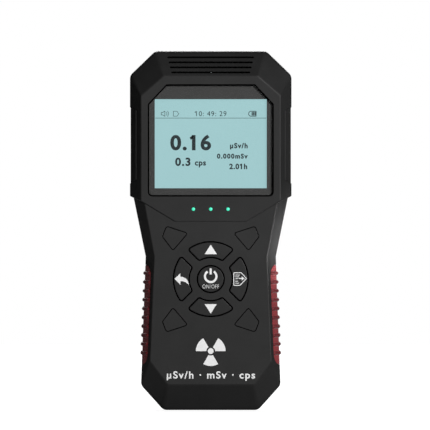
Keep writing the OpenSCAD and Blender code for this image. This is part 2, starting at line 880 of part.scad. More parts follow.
module export_key() { ring_key(0); }
module up_key() { ring_key(90); }
module back_key() { ring_key(180); }
module down_key() { ring_key(270); }
module export_plunger() { plunger(ring_at(0)); }
module up_plunger() { plunger(ring_at(90)); }
module back_plunger() { plunger(ring_at(180)); }
module down_plunger() { plunger(ring_at(270)); }
module power_plunger() { plunger(power_at); }

front_shell();
rear_shell();
case_gasket();
left_grip();
right_grip();
case_screws();
display_window();
display_mask();
lcd_glass();
lcd_frame();
backlight_panel();
lcd_header();
indicator_lenses();
status_leds();
vent_mesh();
main_board();
board_screws();
processor_chip();
geiger_tube();
tube_end_caps();
tube_clips();
hv_module();
buzzer();
battery();
battery_contacts();
battery_cover();
battery_cover_screw();
charging_socket();
socket_cover();
socket_cover_pin();
key_switches();
power_key();
power_plunger();
up_key();
up_plunger();
down_key();
down_plunger();
back_key();
back_plunger();
export_key();
export_plunger();
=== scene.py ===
import math

import bmesh
import bpy
from mathutils import Matrix, Vector


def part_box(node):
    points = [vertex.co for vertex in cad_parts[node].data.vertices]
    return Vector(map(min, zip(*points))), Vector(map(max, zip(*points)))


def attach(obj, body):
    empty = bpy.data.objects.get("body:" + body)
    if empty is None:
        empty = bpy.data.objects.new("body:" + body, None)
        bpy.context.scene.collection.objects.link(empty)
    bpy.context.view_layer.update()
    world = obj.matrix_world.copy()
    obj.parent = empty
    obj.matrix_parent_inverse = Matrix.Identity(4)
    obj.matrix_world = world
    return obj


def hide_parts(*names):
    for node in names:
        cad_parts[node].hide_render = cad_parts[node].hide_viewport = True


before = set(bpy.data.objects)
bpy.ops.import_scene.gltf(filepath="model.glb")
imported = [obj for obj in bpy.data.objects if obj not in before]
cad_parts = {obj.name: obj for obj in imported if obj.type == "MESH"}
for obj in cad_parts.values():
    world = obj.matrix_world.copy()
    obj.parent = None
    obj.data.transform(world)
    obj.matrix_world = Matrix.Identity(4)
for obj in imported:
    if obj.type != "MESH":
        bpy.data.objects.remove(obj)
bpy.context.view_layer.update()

MM = 0.001
ARC_STEPS = 6           # straight pieces in each rounded corner
FILLET_STEPS = 4        # straight pieces across each rounded edge


def box_mm(node):
    low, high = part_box(node)
    return low / MM, high / MM


# ---------------------------------------------------------------- places, in millimetres

FRONT_LOW, FRONT_HIGH = box_mm("front_shell")
REAR_HIGH = box_mm("rear_shell")[1]
WINDOW_LOW, WINDOW_HIGH = box_mm("display_window")
LCD_LOW, LCD_HIGH = box_mm("lcd_glass")
POWER_LOW, POWER_HIGH = box_mm("power_key")
LIGHTS_LOW, LIGHTS_HIGH = box_mm("indicator_lenses")
DOOR_LOW, DOOR_HIGH = box_mm("battery_cover")
FLAP_LOW, FLAP_HIGH = box_mm("socket_cover")
PIN_LOW, PIN_HIGH = box_mm("socket_cover_pin")
GRIP_LOW, GRIP_HIGH = box_mm("right_grip")

TOP_Z = FRONT_HIGH.z
FACE_Y = FRONT_LOW.y
KEYPAD_Y = FACE_Y + 0.5
JOINT_Y = FRONT_HIGH.y
BACK_Y = REAR_HIGH.y
HEAD_HW = FRONT_HIGH.x
WALL = 2.0
FACE_INNER_Y = FACE_Y + 2.6
KEYPAD_INNER_Y = KEYPAD_Y + WALL

HEAD_Z = 95.3           # lower edge of the head's side walls
HEAD_BEVEL = 8.5
HANDLE_BEVEL = 7.0
FACE_HW = 31.1          # half width of the screen face
FACE_TOP = TOP_Z - 11.3
VISOR_Z = HEAD_Z - 11.4         # the screen face ends in a shallow step over the keypad
VISOR_HW = 15.8
WAIST_Z = 68.5
WAIST_HW = 29.0
WAIST_FACE_HW = 25.15
NECK_HW = HEAD_HW - 1.7
NECK_FACE_HW = FACE_HW - 1.6
NECK_FACE_Z = HEAD_Z - 3.7
FOOT_HW = 31.1
FOOT_FACE_HW = 27.1
FOOT_CUT_Z = 11.1
CASE_CORNER_R = 3.6

KEYS_Z = (POWER_LOW.z + POWER_HIGH.z) / 2
POWER_R = 5.97          # centre line of each groove
RING_IN = 9.6
RING_OUT = 16.6
GROOVE = 0.6
KEY_SIDE_GAP = 2.1
KEY_CORNER = 1.0
FLANGE_Y = KEYPAD_INNER_Y + 0.1
PLUNGER_R = 1.7
RING_SWITCH_R = (RING_IN + RING_OUT) / 2
KEY_ANGLES = {"export": 0, "up": 90, "back": 180, "down": 270}

LIGHT_Z = (LIGHTS_LOW.z + LIGHTS_HIGH.z) / 2
LIGHT_PITCH = 7.7
LIGHT_R = 0.75

SCREEN_HW = 24.9        # lit part of the display
SCREEN_LOW_Z = 98.8
SCREEN_TOP_Z = 138.4

CASE_SCREWS = [(s * x, z) for s in (-1, 1) for x, z in ((20.5, TOP_Z - 13.5), (25.5, 90.5), (22.3, 22))]
BOARD_SCREWS = [(s * x, z) for s in (-1, 1) for x, z in ((18.5, 90.5), (15.5, 33))]

SCREW_R = 1.05
SCREW_WAY_R = 1.3       # clearance hole
BOARD_SCREW_R = 0.9
WELL_R = 2.8
SCREW_TIP_Y = -7
BOARD_SCREW_TIP_Y = -11.5
FRONT_BOSS_R = 2.7
BOARD_BOSS_R = 2.4
REAR_BOSS_R = 3.57
DOOR_BOSS_R = 4

PORT_Z = (PIN_LOW.z + PIN_HIGH.z) / 2
PIN_X = (PIN_LOW.x + PIN_HIGH.x) / 2
PIN_Y = (PIN_LOW.y + PIN_HIGH.y) / 2
PORT_Y = -3.3
PAD_X = -(HEAD_HW - 3.8)

DOOR_SCREW = (0, 14.5)
BAY_HW = 18             # hollow for the battery
BAY_LOW_Z = 18
BAY_TOP_Z = 66.5
BAY_MOUTH_Z = 63        # the hollow is open up to here
BAY_Y = 3.6
BAY_WALL = 1.2
CATCH_X = 10
CONTACT_X = 10

INSET_LOW = 101.0       # shallow panels in the sides of the head
INSET_HIGH = 135.0
INSET_CUT_Z = 1.6
INSET_FRONT = FACE_Y + 3.3
INSET_RUN = 4.8         # depth of the slanted ends of a panel

INK = 0.06              # how far printed legends stand out
LCD_INK = 0.05
SIDES = (-1, 1)
OVERLAP = 3.0           # neck and handle run this far into their neighbours


# ---------------------------------------------------------------- outlines

def polar(angle, radius=1.0, centre=(0, 0)):
    """Point at an angle in radians round a centre."""
    return Vector(centre) + radius * Vector((math.cos(angle), math.sin(angle)))


def corner_arc(before, corner, after, radius):
    """The arc of that radius which replaces a corner between its neighbours."""
    to_before = (before - corner).normalized()
    to_after = (after - corner).normalized()
    half = to_before.angle(to_after) / 2
    centre = corner + (to_before + to_after).normalized() * (radius / math.sin(half))
    start = corner + to_before * (radius / math.tan(half)) - centre
    end = corner + to_after * (radius / math.tan(half)) - centre
    first = math.atan2(start.y, start.x)
    turn = math.atan2(start.x * end.y - start.y * end.x, start.dot(end))
    return [polar(first + turn * i / ARC_STEPS, radius, centre) for i in range(ARC_STEPS + 1)]


def rounded(corners):
    """Closed outline from (u, v, radius) corners."""
    flat = [Vector(c[:2]) for c in corners]
    points = []
    for i, c in enumerate(corners):
        points += corner_arc(flat[i - 1], flat[i], flat[(i + 1) % len(flat)], max(c[2], 0.05))
    return points


def mirrored(corners):
    """Corners of a left-right symmetric outline from those of its right half."""
    return corners + [(-c[0], *c[1:]) for c in reversed(corners)]


def circle(centre, radius, steps=48):
    return [polar(math.tau * i / steps, radius, centre) for i in range(steps)]


def grown(points, distance):
    """The outline moved outwards by a distance, corner by corner."""
    n = len(points)
    area = sum(points[i - 1].x * points[i].y - points[i].x * points[i - 1].y for i in range(n))
    side = 1 if area > 0 else -1
    moved = []
    for i in range(n):
        a = (points[i] - points[i - 1]).normalized()
        b = (points[(i + 1) % n] - points[i]).normalized()
        normal_a = Vector((a.y, -a.x)) * side
        normal_b = Vector((b.y, -b.x)) * side
        moved.append(points[i] + (normal_a + normal_b) * (distance / (1 + normal_a.dot(normal_b))))
    return moved


def inset(corners, distance):
    """Rounded outline of the corners moved inwards by a distance."""
    flat = grown([Vector(c[:2]) for c in corners], -distance)
    return rounded([(p.x, p.y, max(c[2] - distance, 0.4)) for p, c in zip(flat, corners)])


def plate(hw, low_z, top_z, radius):
    """Rounded rectangle about the middle line."""
    return rounded(mirrored([(hw, top_z, radius), (hw, low_z, radius)]))


def blended(a, b, share):
    """Outline part of the way from one to another."""
    return [p.lerp(q, share) for p, q in zip(a, b)]


HEAD_SIDE = mirrored([
    (HEAD_HW - 11.3, TOP_Z, CASE_CORNER_R), (HEAD_HW, TOP_Z - 10.9, CASE_CORNER_R),
    (HEAD_HW, HEAD_Z, 0.6), (HEAD_HW - 5, HEAD_Z - 2.2, 0.6)])
HEAD_FACE = mirrored([
    (FACE_HW - 10.1, FACE_TOP, 1), (FACE_HW, FACE_TOP - 8.8, 1),
    (FACE_HW, HEAD_Z - 2.2, 0.6), (VISOR_HW, VISOR_Z, 1)])
HEAD_BACK = mirrored([
    (FACE_HW - 11.1, TOP_Z - 9, 1), (FACE_HW - 1, FACE_TOP - 8.8, 1),
    (FACE_HW - 1, HEAD_Z - 2.2, 0.6), (FACE_HW - 2, HEAD_Z - 2.6, 0.6)])


def neck_line(top_hw, top_z, low_hw):
    """Neck corners; it runs on past both its ends, inside its neighbours."""
    slope = (top_hw - low_hw) / (top_z - WAIST_Z)
    return mirrored([
        (top_hw, top_z + OVERLAP, 0.6), (top_hw, top_z, 0.6),
        (low_hw - slope * OVERLAP, WAIST_Z - OVERLAP, 0.6)])


def handle_line(top_hw, low_hw, low_z, cut_x, cut_z, radius):
    """Handle corners down to its cut foot; it runs on upwards, inside the neck."""
    slope = (low_hw - top_hw) / (WAIST_Z - low_z - cut_z)
    return mirrored([
        (top_hw - slope * OVERLAP, WAIST_Z + OVERLAP, 0.6),
        (low_hw, low_z + cut_z, radius), (low_hw - cut_x, low_z, radius)])


NECK_SIDE = neck_line(NECK_HW, HEAD_Z - 1, WAIST_HW)
NECK_FACE = neck_line(NECK_FACE_HW, NECK_FACE_Z, WAIST_FACE_HW)
NECK_BACK = neck_line(NECK_FACE_HW - 1, NECK_FACE_Z, WAIST_FACE_HW - 1)
HANDLE_SIDE = handle_line(WAIST_HW, FOOT_HW, 0, 10, FOOT_CUT_Z, CASE_CORNER_R)
HANDLE_FACE = handle_line(WAIST_FACE_HW, FOOT_FACE_HW, 11.4, 7.9, 10.6, 1.5)
HANDLE_BACK = handle_line(WAIST_FACE_HW - 1, FOOT_FACE_HW - 1, 8, 7.9, 10.6, 1.5)

WINDOW = rounded(mirrored([
    ((WINDOW_HIGH.x + 0.3) - 8.1, WINDOW_HIGH.z + 0.3, 0.8),
    (WINDOW_HIGH.x + 0.3, WINDOW_HIGH.z - 8.3, 0.8),
    (WINDOW_HIGH.x + 0.3, WINDOW_LOW.z - 0.3, 1.8)]))
SCREEN = rounded(mirrored([
    (SCREEN_HW - 0.6, SCREEN_TOP_Z + 0.5, 0.3), (SCREEN_HW + 0.5, SCREEN_TOP_Z - 0.8, 0.3),
    (SCREEN_HW + 0.5, SCREEN_LOW_Z - 0.5, 0.3)]))


def ring_key(angle, grow):
    """Outline of the ring key that points along an angle, grown from its groove's centre line."""
    radius = KEY_CORNER + grow
    along = polar(math.pi / 4)
    inward = Vector((along.y, -along.x))
    off = KEY_SIDE_GAP - grow + radius
    outer_r, inner_r = RING_OUT + grow, RING_IN - grow
    outer = along * math.sqrt((outer_r - radius) ** 2 - off ** 2) + inward * off
    inner = along * math.sqrt((inner_r + radius) ** 2 - off ** 2) + inward * off

    def turned(centre, first, last, r, steps):
        return [polar(first + (last - first) * i / steps, r, centre) for i in range(steps + 1)]

    rim, hub = math.atan2(outer.y, outer.x), math.atan2(inner.y, inner.x)
    side = math.radians(135)
    half = turned(Vector((0, 0)), 0, rim, outer_r, 16)[:-1]
    half += turned(outer, rim, side, radius, ARC_STEPS)
    half += turned(inner, side, hub + math.pi, radius, ARC_STEPS)
    half += turned(Vector((0, 0)), hub, 0, inner_r, 12)[1:]
    points = half + [Vector((p.x, -p.y)) for p in reversed(half[1:-1])]
    c, s = math.cos(math.radians(angle)), math.sin(math.radians(angle))
    return [Vector((p.x * c - p.y * s, KEYS_Z + p.x * s + p.y * c)) for p in points]


def kite(sx, sz):
    """Outline of one of the four blank fields round the keys."""
    corners = [(19.7, 23.5, 1.1), (10.2, 20.4, 0.8), (16.8, 12.7, 0.8), (21.5, 18.9, 1.1)]
    return [Vector((sx * p.x, KEYS_Z + sz * p.y)) for p in rounded(corners)]


def vent_slot(i):
    """Outline of a slot in the top bevel, each shorter than the one above it."""
    z, half, r = TOP_Z - 2.9 - i * 2.27, 18.9 - i * 0.57, 0.4
    return plate(half + r, z - r, z + r, r * 0.98)


KEY_HOLES = [ring_key(angle, GROOVE / 2) for angle in KEY_ANGLES.values()]
KEY_HOLES.append(circle((0, KEYS_Z), POWER_R + GROOVE / 2, 96))
KITES = [kite(sx, sz) for sx in SIDES for sz in SIDES]
LIGHTS = [(i * LIGHT_PITCH, LIGHT_Z) for i in (-1, 0, 1)]
VENT_SLOTS = [vent_slot(i) for i in range(4)]
DOOR = plate(DOOR_HIGH.x, DOOR_LOW.z, DOOR_HIGH.z, 1.5)
LABEL = plate(22, 98, 132, 1.5)


# ---------------------------------------------------------------- solids

def add_object(name, data):
    obj = bpy.data.objects.new(name, data)
    bpy.context.scene.collection.objects.link(obj)
    return obj


def closed_object(name, mesh):
    """Object for a mesh, its double points merged and its faces turned outwards."""
    bm = bmesh.new()
    bm.from_mesh(mesh)
    bmesh.ops.remove_doubles(bm, verts=bm.verts, dist=1e-4)
    bmesh.ops.recalc_face_normals(bm, faces=bm.faces)
    bm.to_mesh(mesh)
    bm.free()
    return add_object(name, mesh)


def new_piece(name, verts, faces):
    """Mesh object in millimetres; dressed() brings it to metres."""
    mesh = bpy.data.meshes.new(name)
    mesh.from_pydata([Vector(v) for v in verts], [], faces)
    return closed_object(name, mesh)


def ring_stack(rings, closed=False):
    """Vertices and faces of a tube through rings of equal length, capped unless it closes on itself."""
    n = len(rings[0])
    verts = [v for ring in rings for v in ring]
    count = len(rings)
    faces = []
    for r in range(count if closed else count - 1):
        a, b = r * n, (r + 1) % count * n
        faces += [(a + i, a + (i + 1) % n, b + (i + 1) % n, b + i) for i in range(n)]
    if not closed:
        faces += [tuple(range(n)), tuple((count - 1) * n + i for i in reversed(range(n)))]
    return verts, faces


def loft(name, sections):
    """Solid through front-view outlines, each at its own depth: [(y, outline), ...]."""
    return new_piece(name, *ring_stack([[(p.x, y, p.y) for p in outline] for y, outline in sections]))


def profiled(name, outline, steps):
    """Solid whose outline is grown by a distance of its own at each depth: [(y, distance), ...]."""
    return loft(name, [(y, grown(outline, distance)) for y, distance in steps])


def prism(name, outline, axis, low, high):
    """Straight solid along an axis, from an outline in the two other axes."""
    place = {
        "x": lambda p, t: (t, p.x, p.y), "y": lambda p, t: (p.x, t, p.y), "z": lambda p, t: (p.x, p.y, t)
    }[axis]
    return new_piece(name, *ring_stack([[place(p, t) for p in outline] for t in (low, high)]))


def bar(x0, x1, z0, z1):
    """Outline of an upright rectangle."""
    return [Vector(c) for c in ((x0, z0), (x1, z0), (x1, z1), (x0, z1))]


def block(name, low, high):
    """Box between two corners."""
    return prism(name, bar(low[0], high[0], low[2], high[2]), "y", low[1], high[1])


def rod(name, at, y0, y1, radius, steps=48):
    """Round bar along Y at an (x, z) place."""
    return prism(name, circle(at, radius, steps), "y", y0, y1)


def bent(start, control, end, steps=8):
    """Points of a smooth curve that leaves the start towards a control point."""
    a, c, b = Vector(start), Vector(control), Vector(end)
    shares = [i / steps for i in range(steps + 1)]
    return [a * (1 - t) ** 2 + c * 2 * t * (1 - t) + b * t ** 2 for t in shares]


def fillet(before, corner, after):
    """Steps of a smooth turn from one (depth, share) to another past a corner."""
    return bent(before, corner, after, FILLET_STEPS)


def half_form(name, joint_y, bevel_y, face_y, side, face):
    """One block of the case, from the joint plane over the bevel to the face, with rounded edges."""
    soft, rim = 1.1, 0.45   # reach of the rounding at the bevel's outer and inner edge
    side, face = rounded(side), rounded(face)
    way = 1 if face_y > joint_y else -1
    span = abs(face_y - bevel_y)
    turn = fillet((bevel_y - way * soft, 0.0), (bevel_y, 0.0), (bevel_y + way * soft, soft / span))
    sections = [(joint_y, grown(side, -0.22)), (joint_y + way * 0.3, side)]
    sections += [(y, blended(side, face, share)) for y, share in turn]
    top = blended(side, face, 1 - rim / span)
    edge = fillet((face_y - way * rim, 0.0), (face_y, 0.0), (face_y, 1.0))
    reached = blended(side, face, 1.0)
    for i, (y, share) in enumerate(edge):
        t = i / FILLET_STEPS
        sections.append((y, blended(blended(top, reached, min(1, 2 * t - t * t)), grown(face, -rim), share)))
    return loft(name, sections)


def joined(name, pieces):
    """One mesh object from several that don't touch."""
    bm = bmesh.new()
    for piece in pieces:
        bm.from_mesh(piece.data)
        bpy.data.objects.remove(piece)
    mesh = bpy.data.meshes.new(name)
    bm.to_mesh(mesh)
    bm.free()
    return add_object(name, mesh)


def combine(target, tool, how):
    """Exact boolean of two meshes; the tool is used up."""
    modifier = target.modifiers.new("combine", "BOOLEAN")
    modifier.operation, modifier.solver, modifier.object = how, "EXACT", tool
    result = bpy.data.meshes.new_from_object(target.evaluated_get(bpy.context.evaluated_depsgraph_get()))
    target.modifiers.clear()
    target.data = result
    bpy.data.objects.remove(tool)
    return target


def unite(target, *tools):
    for tool in tools:
        combine(target, tool, "UNION")
    return target


def cut(target, *tools):
    for tool in tools:
        combine(target, tool, "DIFFERENCE")
    return target


def smooth(piece, angle=32):
    """Smooth faces with sharp creases, and normals that keep the flats flat."""
    piece.data.shade_smooth()
    piece.data.set_sharp_from_angle(angle=math.radians(angle))
    weighted = piece.modifiers.new("weighted", "WEIGHTED_NORMAL")
    weighted.keep_sharp = True
    return piece


def dressed(piece, body, slot, *nodes):
    """Brings a piece to metres, gives it its body and finish, and hides the nodes it stands for."""
    piece.data.transform(Matrix.Scale(MM, 4))
    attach(piece, body)
    piece.data.materials.clear()
    piece.data.materials.append(MATERIALS[slot])
    if nodes:
        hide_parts(*nodes)
    return piece


def contains(outline, x, z):
    """True if the point lies inside the outline."""
    inside = False
    for a, b in zip(outline, outline[1:] + outline[:1]):
        if (a.y > z) != (b.y > z) and x < a.x + (b.x - a.x) * (z - a.y) / (b.y - a.y):
            inside = not inside
    return inside


def paint(piece, material, is_painted):
    """Second material on some faces; is_painted gets a face's centre in millimetres and its normal."""
    piece.data.materials.append(MATERIALS[material])
    for face in piece.data.polygons:
        if is_painted(face.center / MM, face.normal):
            face.material_index = 1


# ---------------------------------------------------------------- materials

def linear(code):
    """Linear colour from a hexadecimal screen colour."""
    values = [int(code[i:i + 2], 16) / 255 for i in (0, 2, 4)]
    return (*[v / 12.92 if v <= 0.04045 else ((v + 0.055) / 1.055) ** 2.4 for v in values], 1.0)


def feed(tree, node, values):
    """Sets or links inputs of a node, by their name or number."""
    for socket, value in values.items():
        if isinstance(value, bpy.types.NodeSocket):
            tree.links.new(value, node.inputs[socket])
        else:
            node.inputs[socket].default_value = value


def add_node(tree, kind, inputs=None, **settings):
    """New shader node with its settings and inputs."""
    node = tree.nodes.new("ShaderNode" + kind)
    for key, value in settings.items():
        setattr(node, key, value)
    feed(tree, node, inputs or {})
    return node


MATERIALS = {}


class Finish:
    """A Principled material with procedural colour, roughness and relief, kept in MATERIALS."""

    def __init__(self, name, colour, rough, metallic=0.0, specular=0.5):
        self.material = MATERIALS[name] = bpy.data.materials.new(name)
        self.material.use_nodes = True
        self.tree = self.material.node_tree
        self.colour, self.rough = linear(colour), rough
        self.shade({"Metallic": metallic, "Specular IOR Level": specular})
        self.place = self.node("TexCoord").outputs["Object"]
        self.relief = None

    def node(self, kind, inputs=None, **settings):
        return add_node(self.tree, kind, inputs, **settings)

    def shade(self, values):
        """Sets or links inputs of the shader."""
        feed(self.tree, self.tree.nodes["Principled BSDF"], values)

    def stretched(self, scale):
        """Object coordinates scaled per axis, for brushed or striped patterns."""
        return self.node("Mapping", {"Vector": self.place, "Scale": scale}).outputs["Vector"]

    def noise(self, scale, detail=4.0, place=None):
        inputs = {"Vector": place or self.place, "Scale": scale, "Detail": detail}
        return self.node("TexNoise", inputs).outputs["Fac"]

    def cells(self, scale):
        return self.node("TexVoronoi", {"Vector": self.place, "Scale": scale}).outputs["Distance"]

    def bricks(self, scale, offset, inputs):
        """Grid of bricks on faces that look along Y."""
        turned = self.node("Mapping", {"Vector": self.place, "Rotation": (math.pi / 2, 0, 0)})
        inputs = {"Vector": turned.outputs["Vector"], "Scale": scale, **inputs}
        return self.node("TexBrick", inputs, offset=offset)

    def ranged(self, value, low, high, start=0.3, stop=0.7):
        """A value from start to stop, spread from low to high."""
        limits = {"From Min": start, "From Max": stop, "To Min": low, "To Max": high}
        return self.node("MapRange", {"Value": value, **limits}).outputs["Result"]

    def mixed(self, share, a, b, how="MIX"):
        """Colour part of the way from a to b."""
        return self.node("Mix", {0: share, 6: a, 7: b}, data_type="RGBA", blend_type=how).outputs[2]

    def mottle(self, value, spread, other=None):
        """Colour that wanders about the base colour, or towards another one."""
        dark = tuple(c * (1 - spread) for c in self.colour[:3]) + (1,)
        light = tuple(min(1, c * (1 + spread)) for c in self.colour[:3]) + (1,)
        tone = self.mixed(self.ranged(value, 0, 1), dark, linear(other) if other else light)
        self.shade({"Base Color": tone})
        return tone

    def wear(self, value, spread):
        """Roughness that wanders about its own value."""
        low, high = max(0.02, self.rough - spread), min(1, self.rough + spread)
        self.shade({"Roughness": self.ranged(value, low, high)})

    def bump(self, value, height):
        """Relief of a height in millimetres; calls add up."""
        inputs = {"Distance": height * MM, "Height": value}
        if self.relief:
            inputs["Normal"] = self.relief
        self.relief = self.node("Bump", inputs).outputs["Normal"]
        self.shade({"Normal": self.relief})


def moulded(name, colour, rough, grain=1700, height=0.012, tint=0.07, specular=0.4):
    """Moulded plastic with a fine spark-eroded texture, faint flow marks and handling gloss."""
    finish = Finish(name, colour, rough, specular=specular)
    finish.mottle(finish.noise(90, 6), tint)
    finish.wear(finish.noise(45, 5), 0.06)
    finish.bump(finish.noise(grain, 3), height)
    finish.bump(finish.cells(grain * 0.6), height * 0.5)


def rubber(name, colour, rough, grain=1500, height=0.03, sheen=0.15):
    """Soft moulding with a matt pebbled skin."""
    finish = Finish(name, colour, rough, specular=0.35)
    finish.shade({"Sheen Weight": sheen, "Sheen Roughness": 0.5})
    finish.mottle(finish.noise(260, 6), 0.14)
    finish.wear(finish.noise(120, 4), 0.08)
    finish.bump(finish.cells(grain), height)
    finish.bump(finish.noise(grain * 2, 3), height * 0.4)


def ink(name, colour):
    """Screen-printed ink: thick, slightly uneven."""
    finish = Finish(name, colour, 0.55, specular=0.3)
    finish.mottle(finish.noise(1200, 4), 0.04)
    finish.wear(finish.noise(700, 3), 0.08)
    finish.bump(finish.noise(2600, 3), 0.008)


def metal(name, colour, rough, along=(1, 1, 1)):
    """Metal with fine brush marks across one direction."""
    finish = Finish(name, colour, rough, metallic=1.0)
    lines = finish.noise(400, 6, finish.stretched(along))
    finish.mottle(finish.noise(150, 4), 0.10)
    finish.wear(lines, 0.10)
    finish.bump(lines, 0.01)


def clear_window():
    """Clear hard-coated window with faint smears; what is behind it shows through."""
    finish = Finish("window_clear", "16181a", 0.12, specular=0.5)
    finish.mottle(finish.noise(60, 4), 0.2)
    finish.wear(finish.noise(35, 6), 0.05)
    finish.bump(finish.noise(120, 2), 0.004)
    finish.shade({"Alpha": 0.10})


def lit_screen():
    """Liquid crystal glass lit from behind: a fine pixel grid under a soft glow."""
    finish = Finish("screen_lit", "3c4c4d", 0.35, specular=0.2)
    white, line = (1, 1, 1, 1), (0.93, 0.93, 0.93, 1)
    grid = finish.bricks(1000, 0.0, {
        "Brick Width": 0.36, "Row Height": 0.36, "Mortar Size": 0.018,
        "Color1": white, "Color2": white, "Mortar": line})
    finish.mottle(finish.noise(25, 3), 0.04)
    glow = finish.mixed(finish.ranged(finish.noise(18, 2), 0, 1), linear("9fc9cc"), linear("a4ced1"))
    lit = finish.mixed(1.0, glow, grid.outputs["Color"], "MULTIPLY")
    finish.shade({"Emission Color": lit, "Emission Strength": 1.1})
    finish.wear(finish.noise(300, 3), 0.06)
    finish.bump(grid.outputs["Fac"], 0.003)


def glowing(name, colour, strength):
    """Translucent light pipe, lit from inside."""
    finish = Finish(name, colour, 0.3)
    tone = finish.mottle(finish.noise(900, 3), 0.12)
    finish.shade({"Emission Color": tone, "Emission Strength": strength})
    finish.wear(finish.noise(500, 3), 0.08)
    finish.bump(finish.noise(1400, 3), 0.004)


def circuit_board():
    """Solder resist over copper tracks."""
    finish = Finish("board_green", "1d5a34", 0.38)
    tracks = finish.bricks(260, 0.37, {"Mortar Size": 0.06}).outputs["Fac"]
    finish.mottle(tracks, 0.12, other="2f7a48")
    finish.wear(finish.noise(200, 4), 0.08)
    finish.bump(tracks, 0.035)


def tube_glass():
    """Thin glass over a dark cathode film."""
    finish = Finish("tube_glass", "59616a", 0.12, metallic=0.35)
    finish.mottle(finish.noise(120, 4, finish.stretched((1, 1, 0.2))), 0.15)
    finish.wear(finish.noise(240, 4), 0.05)
    finish.bump(finish.noise(160, 3), 0.01)


def make_materials():
    moulded("case_plastic", "252525", 0.48, specular=0.22)
    moulded("key_plastic", "252525", 0.44, grain=2300, height=0.008, specular=0.22)
    rubber("grip_rubber", "84242a", 0.6, sheen=0.25)
    # darker red painted shade on the crests of the grip ribs
    rubber("rib_painted_shade_rubber", "65121a", 0.6)
    rubber("seal_rubber", "1c1c1c", 0.7, grain=2400, height=0.01, sheen=0.0)
    rubber("cover_rubber", "1b1b1b", 0.66, grain=2000, height=0.014, sheen=0.05)
    clear_window()
    moulded("mask_grey", "424241", 0.5, grain=2600, height=0.004, tint=0.03)
    lit_screen()
    metal("frame_metal", "b9b9b5", 0.36, (1, 1, 14))
    moulded("diffuser_white", "e9efec", 0.5, height=0.004, tint=0.02)
    glowing("light_teal", "42d8ae", 0.6)
    moulded("mesh_dark", "080808", 0.8, specular=0.1)
    circuit_board()
    # near-black painted shade for the walls of gaps, grooves, slots and the window's edge
    moulded("gap_painted_shade", "060606", 0.85, specular=0.05)
    moulded("inner_black", "191919", 0.45, height=0.008)
    tube_glass()
    metal("contact_brass", "c6a55a", 0.3, (1, 1, 10))
    moulded("battery_wrap", "2f5f9e", 0.3, grain=900, height=0.006, tint=0.1)
    metal("screw_steel", "8d9194", 0.32, (6, 1, 6))
    moulded("switch_grey", "8c8f92", 0.45)
    ink("print_white", "f0f0f0")
    ink("print_dark", "2c3a3d")


CAD_LOOKS = {
    "seal_rubber": ["case_gasket"],
    "screw_steel": [
        "case_screws", "board_screws", "battery_cover_screw", "socket_cover_pin", "tube_end_caps"],
    "mask_grey": ["display_mask"],
    "frame_metal": ["lcd_frame", "charging_socket"],
    "diffuser_white": ["backlight_panel", "status_leds"],
    "inner_black": [
        "lcd_header", "processor_chip", "hv_module", "buzzer",
        *(key + "_plunger" for key in ("power", *KEY_ANGLES))],
    "mesh_dark": ["vent_mesh"],
    "board_green": ["main_board"],
    "tube_glass": ["geiger_tube"],
    "contact_brass": ["tube_clips", "battery_contacts"],
    "battery_wrap": ["battery"],
    "switch_grey": ["key_switches"],
}


def dress_cad_nodes():
    """Every CAD node that stays in view gets its slot's material."""
    for slot, nodes in CAD_LOOKS.items():
        for node in nodes:
            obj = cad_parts[node]
            obj.data.materials.clear()
            obj.data.materials.append(MATERIALS[slot])


# ---------------------------------------------------------------- case

def case_form(name, joint_y, face_y, keypad_y, lines):
    """Solid form of one shell: head, neck and handle."""
    way = 1 if face_y > joint_y else -1
    (head_side, head_face), (neck_side, neck_face), (low_side, low_face) = lines
    form = half_form(name, joint_y, face_y - way * HEAD_BEVEL, face_y, head_side, head_face)
    neck = half_form("neck", joint_y, keypad_y - way * HANDLE_BEVEL, keypad_y, neck_side, neck_face)
    handle = half_form("handle", joint_y, keypad_y - way * HANDLE_BEVEL, keypad_y, low_side, low_face)
    return unite(form, neck, handle)


FRONT_BEVEL_Y = {-1: FACE_Y + HEAD_BEVEL, 1: BACK_Y - HEAD_BEVEL}
LOW_BEVEL_Y = {-1: KEYPAD_Y + HANDLE_BEVEL, 1: BACK_Y - HANDLE_BEVEL}


def cavity_block(joint_y, bevel_y, face_y, side, face, side_in, face_in):
    """One block of the hollow, side_in and face_in inside the case's outlines."""
    return loft("cavity", [
        (joint_y, inset(side, side_in)), (bevel_y, inset(side, side_in)), (face_y, inset(face, face_in))])


def cavity_form(joint_y, face_y, keypad_y, lines):
    """The hollow of one shell: the outer form moved inwards."""
    way = 1 if face_y > joint_y else -1
    (head_side, head_face), (neck_side, neck_face), (low_side, low_face) = lines
    start = joint_y - way * 0.5
    head = cavity_block(start, FRONT_BEVEL_Y[way], face_y, head_side, head_face, WALL + 0.3, 0.9)
    neck = cavity_block(start, LOW_BEVEL_Y[way], keypad_y, neck_side, neck_face, WALL + 1.6, WALL + 0.8)
    handle = cavity_block(start, LOW_BEVEL_Y[way], keypad_y, low_side, low_face, WALL + 1.6, WALL + 0.8)
    waist = WAIST_FACE_HW - WALL - 1
    near, far = sorted((start, keypad_y - way * 0.02))
    passage = block("waist", (-waist, near, WAIST_Z - 4.5), (waist, far, WAIST_Z + 4.5))
    return unite(head, neck, handle, passage)


def groove_cutter(name, outline, face_y, half_width, depth):
    """Closed ring that cuts a groove with flared lips along an outline."""
    lip = 0.06
    shape = [
        (half_width + lip, -0.3), (half_width + lip, 0), (half_width, lip), (half_width * 0.7, depth),
        (-half_width * 0.7, depth), (-half_width, lip), (-half_width - lip, 0), (-half_width - lip, -0.3)]
    rings = [[(p.x, face_y + d, p.y) for p in grown(outline, w)] for w, d in shape]
    return new_piece(name, *ring_stack(rings, closed=True))


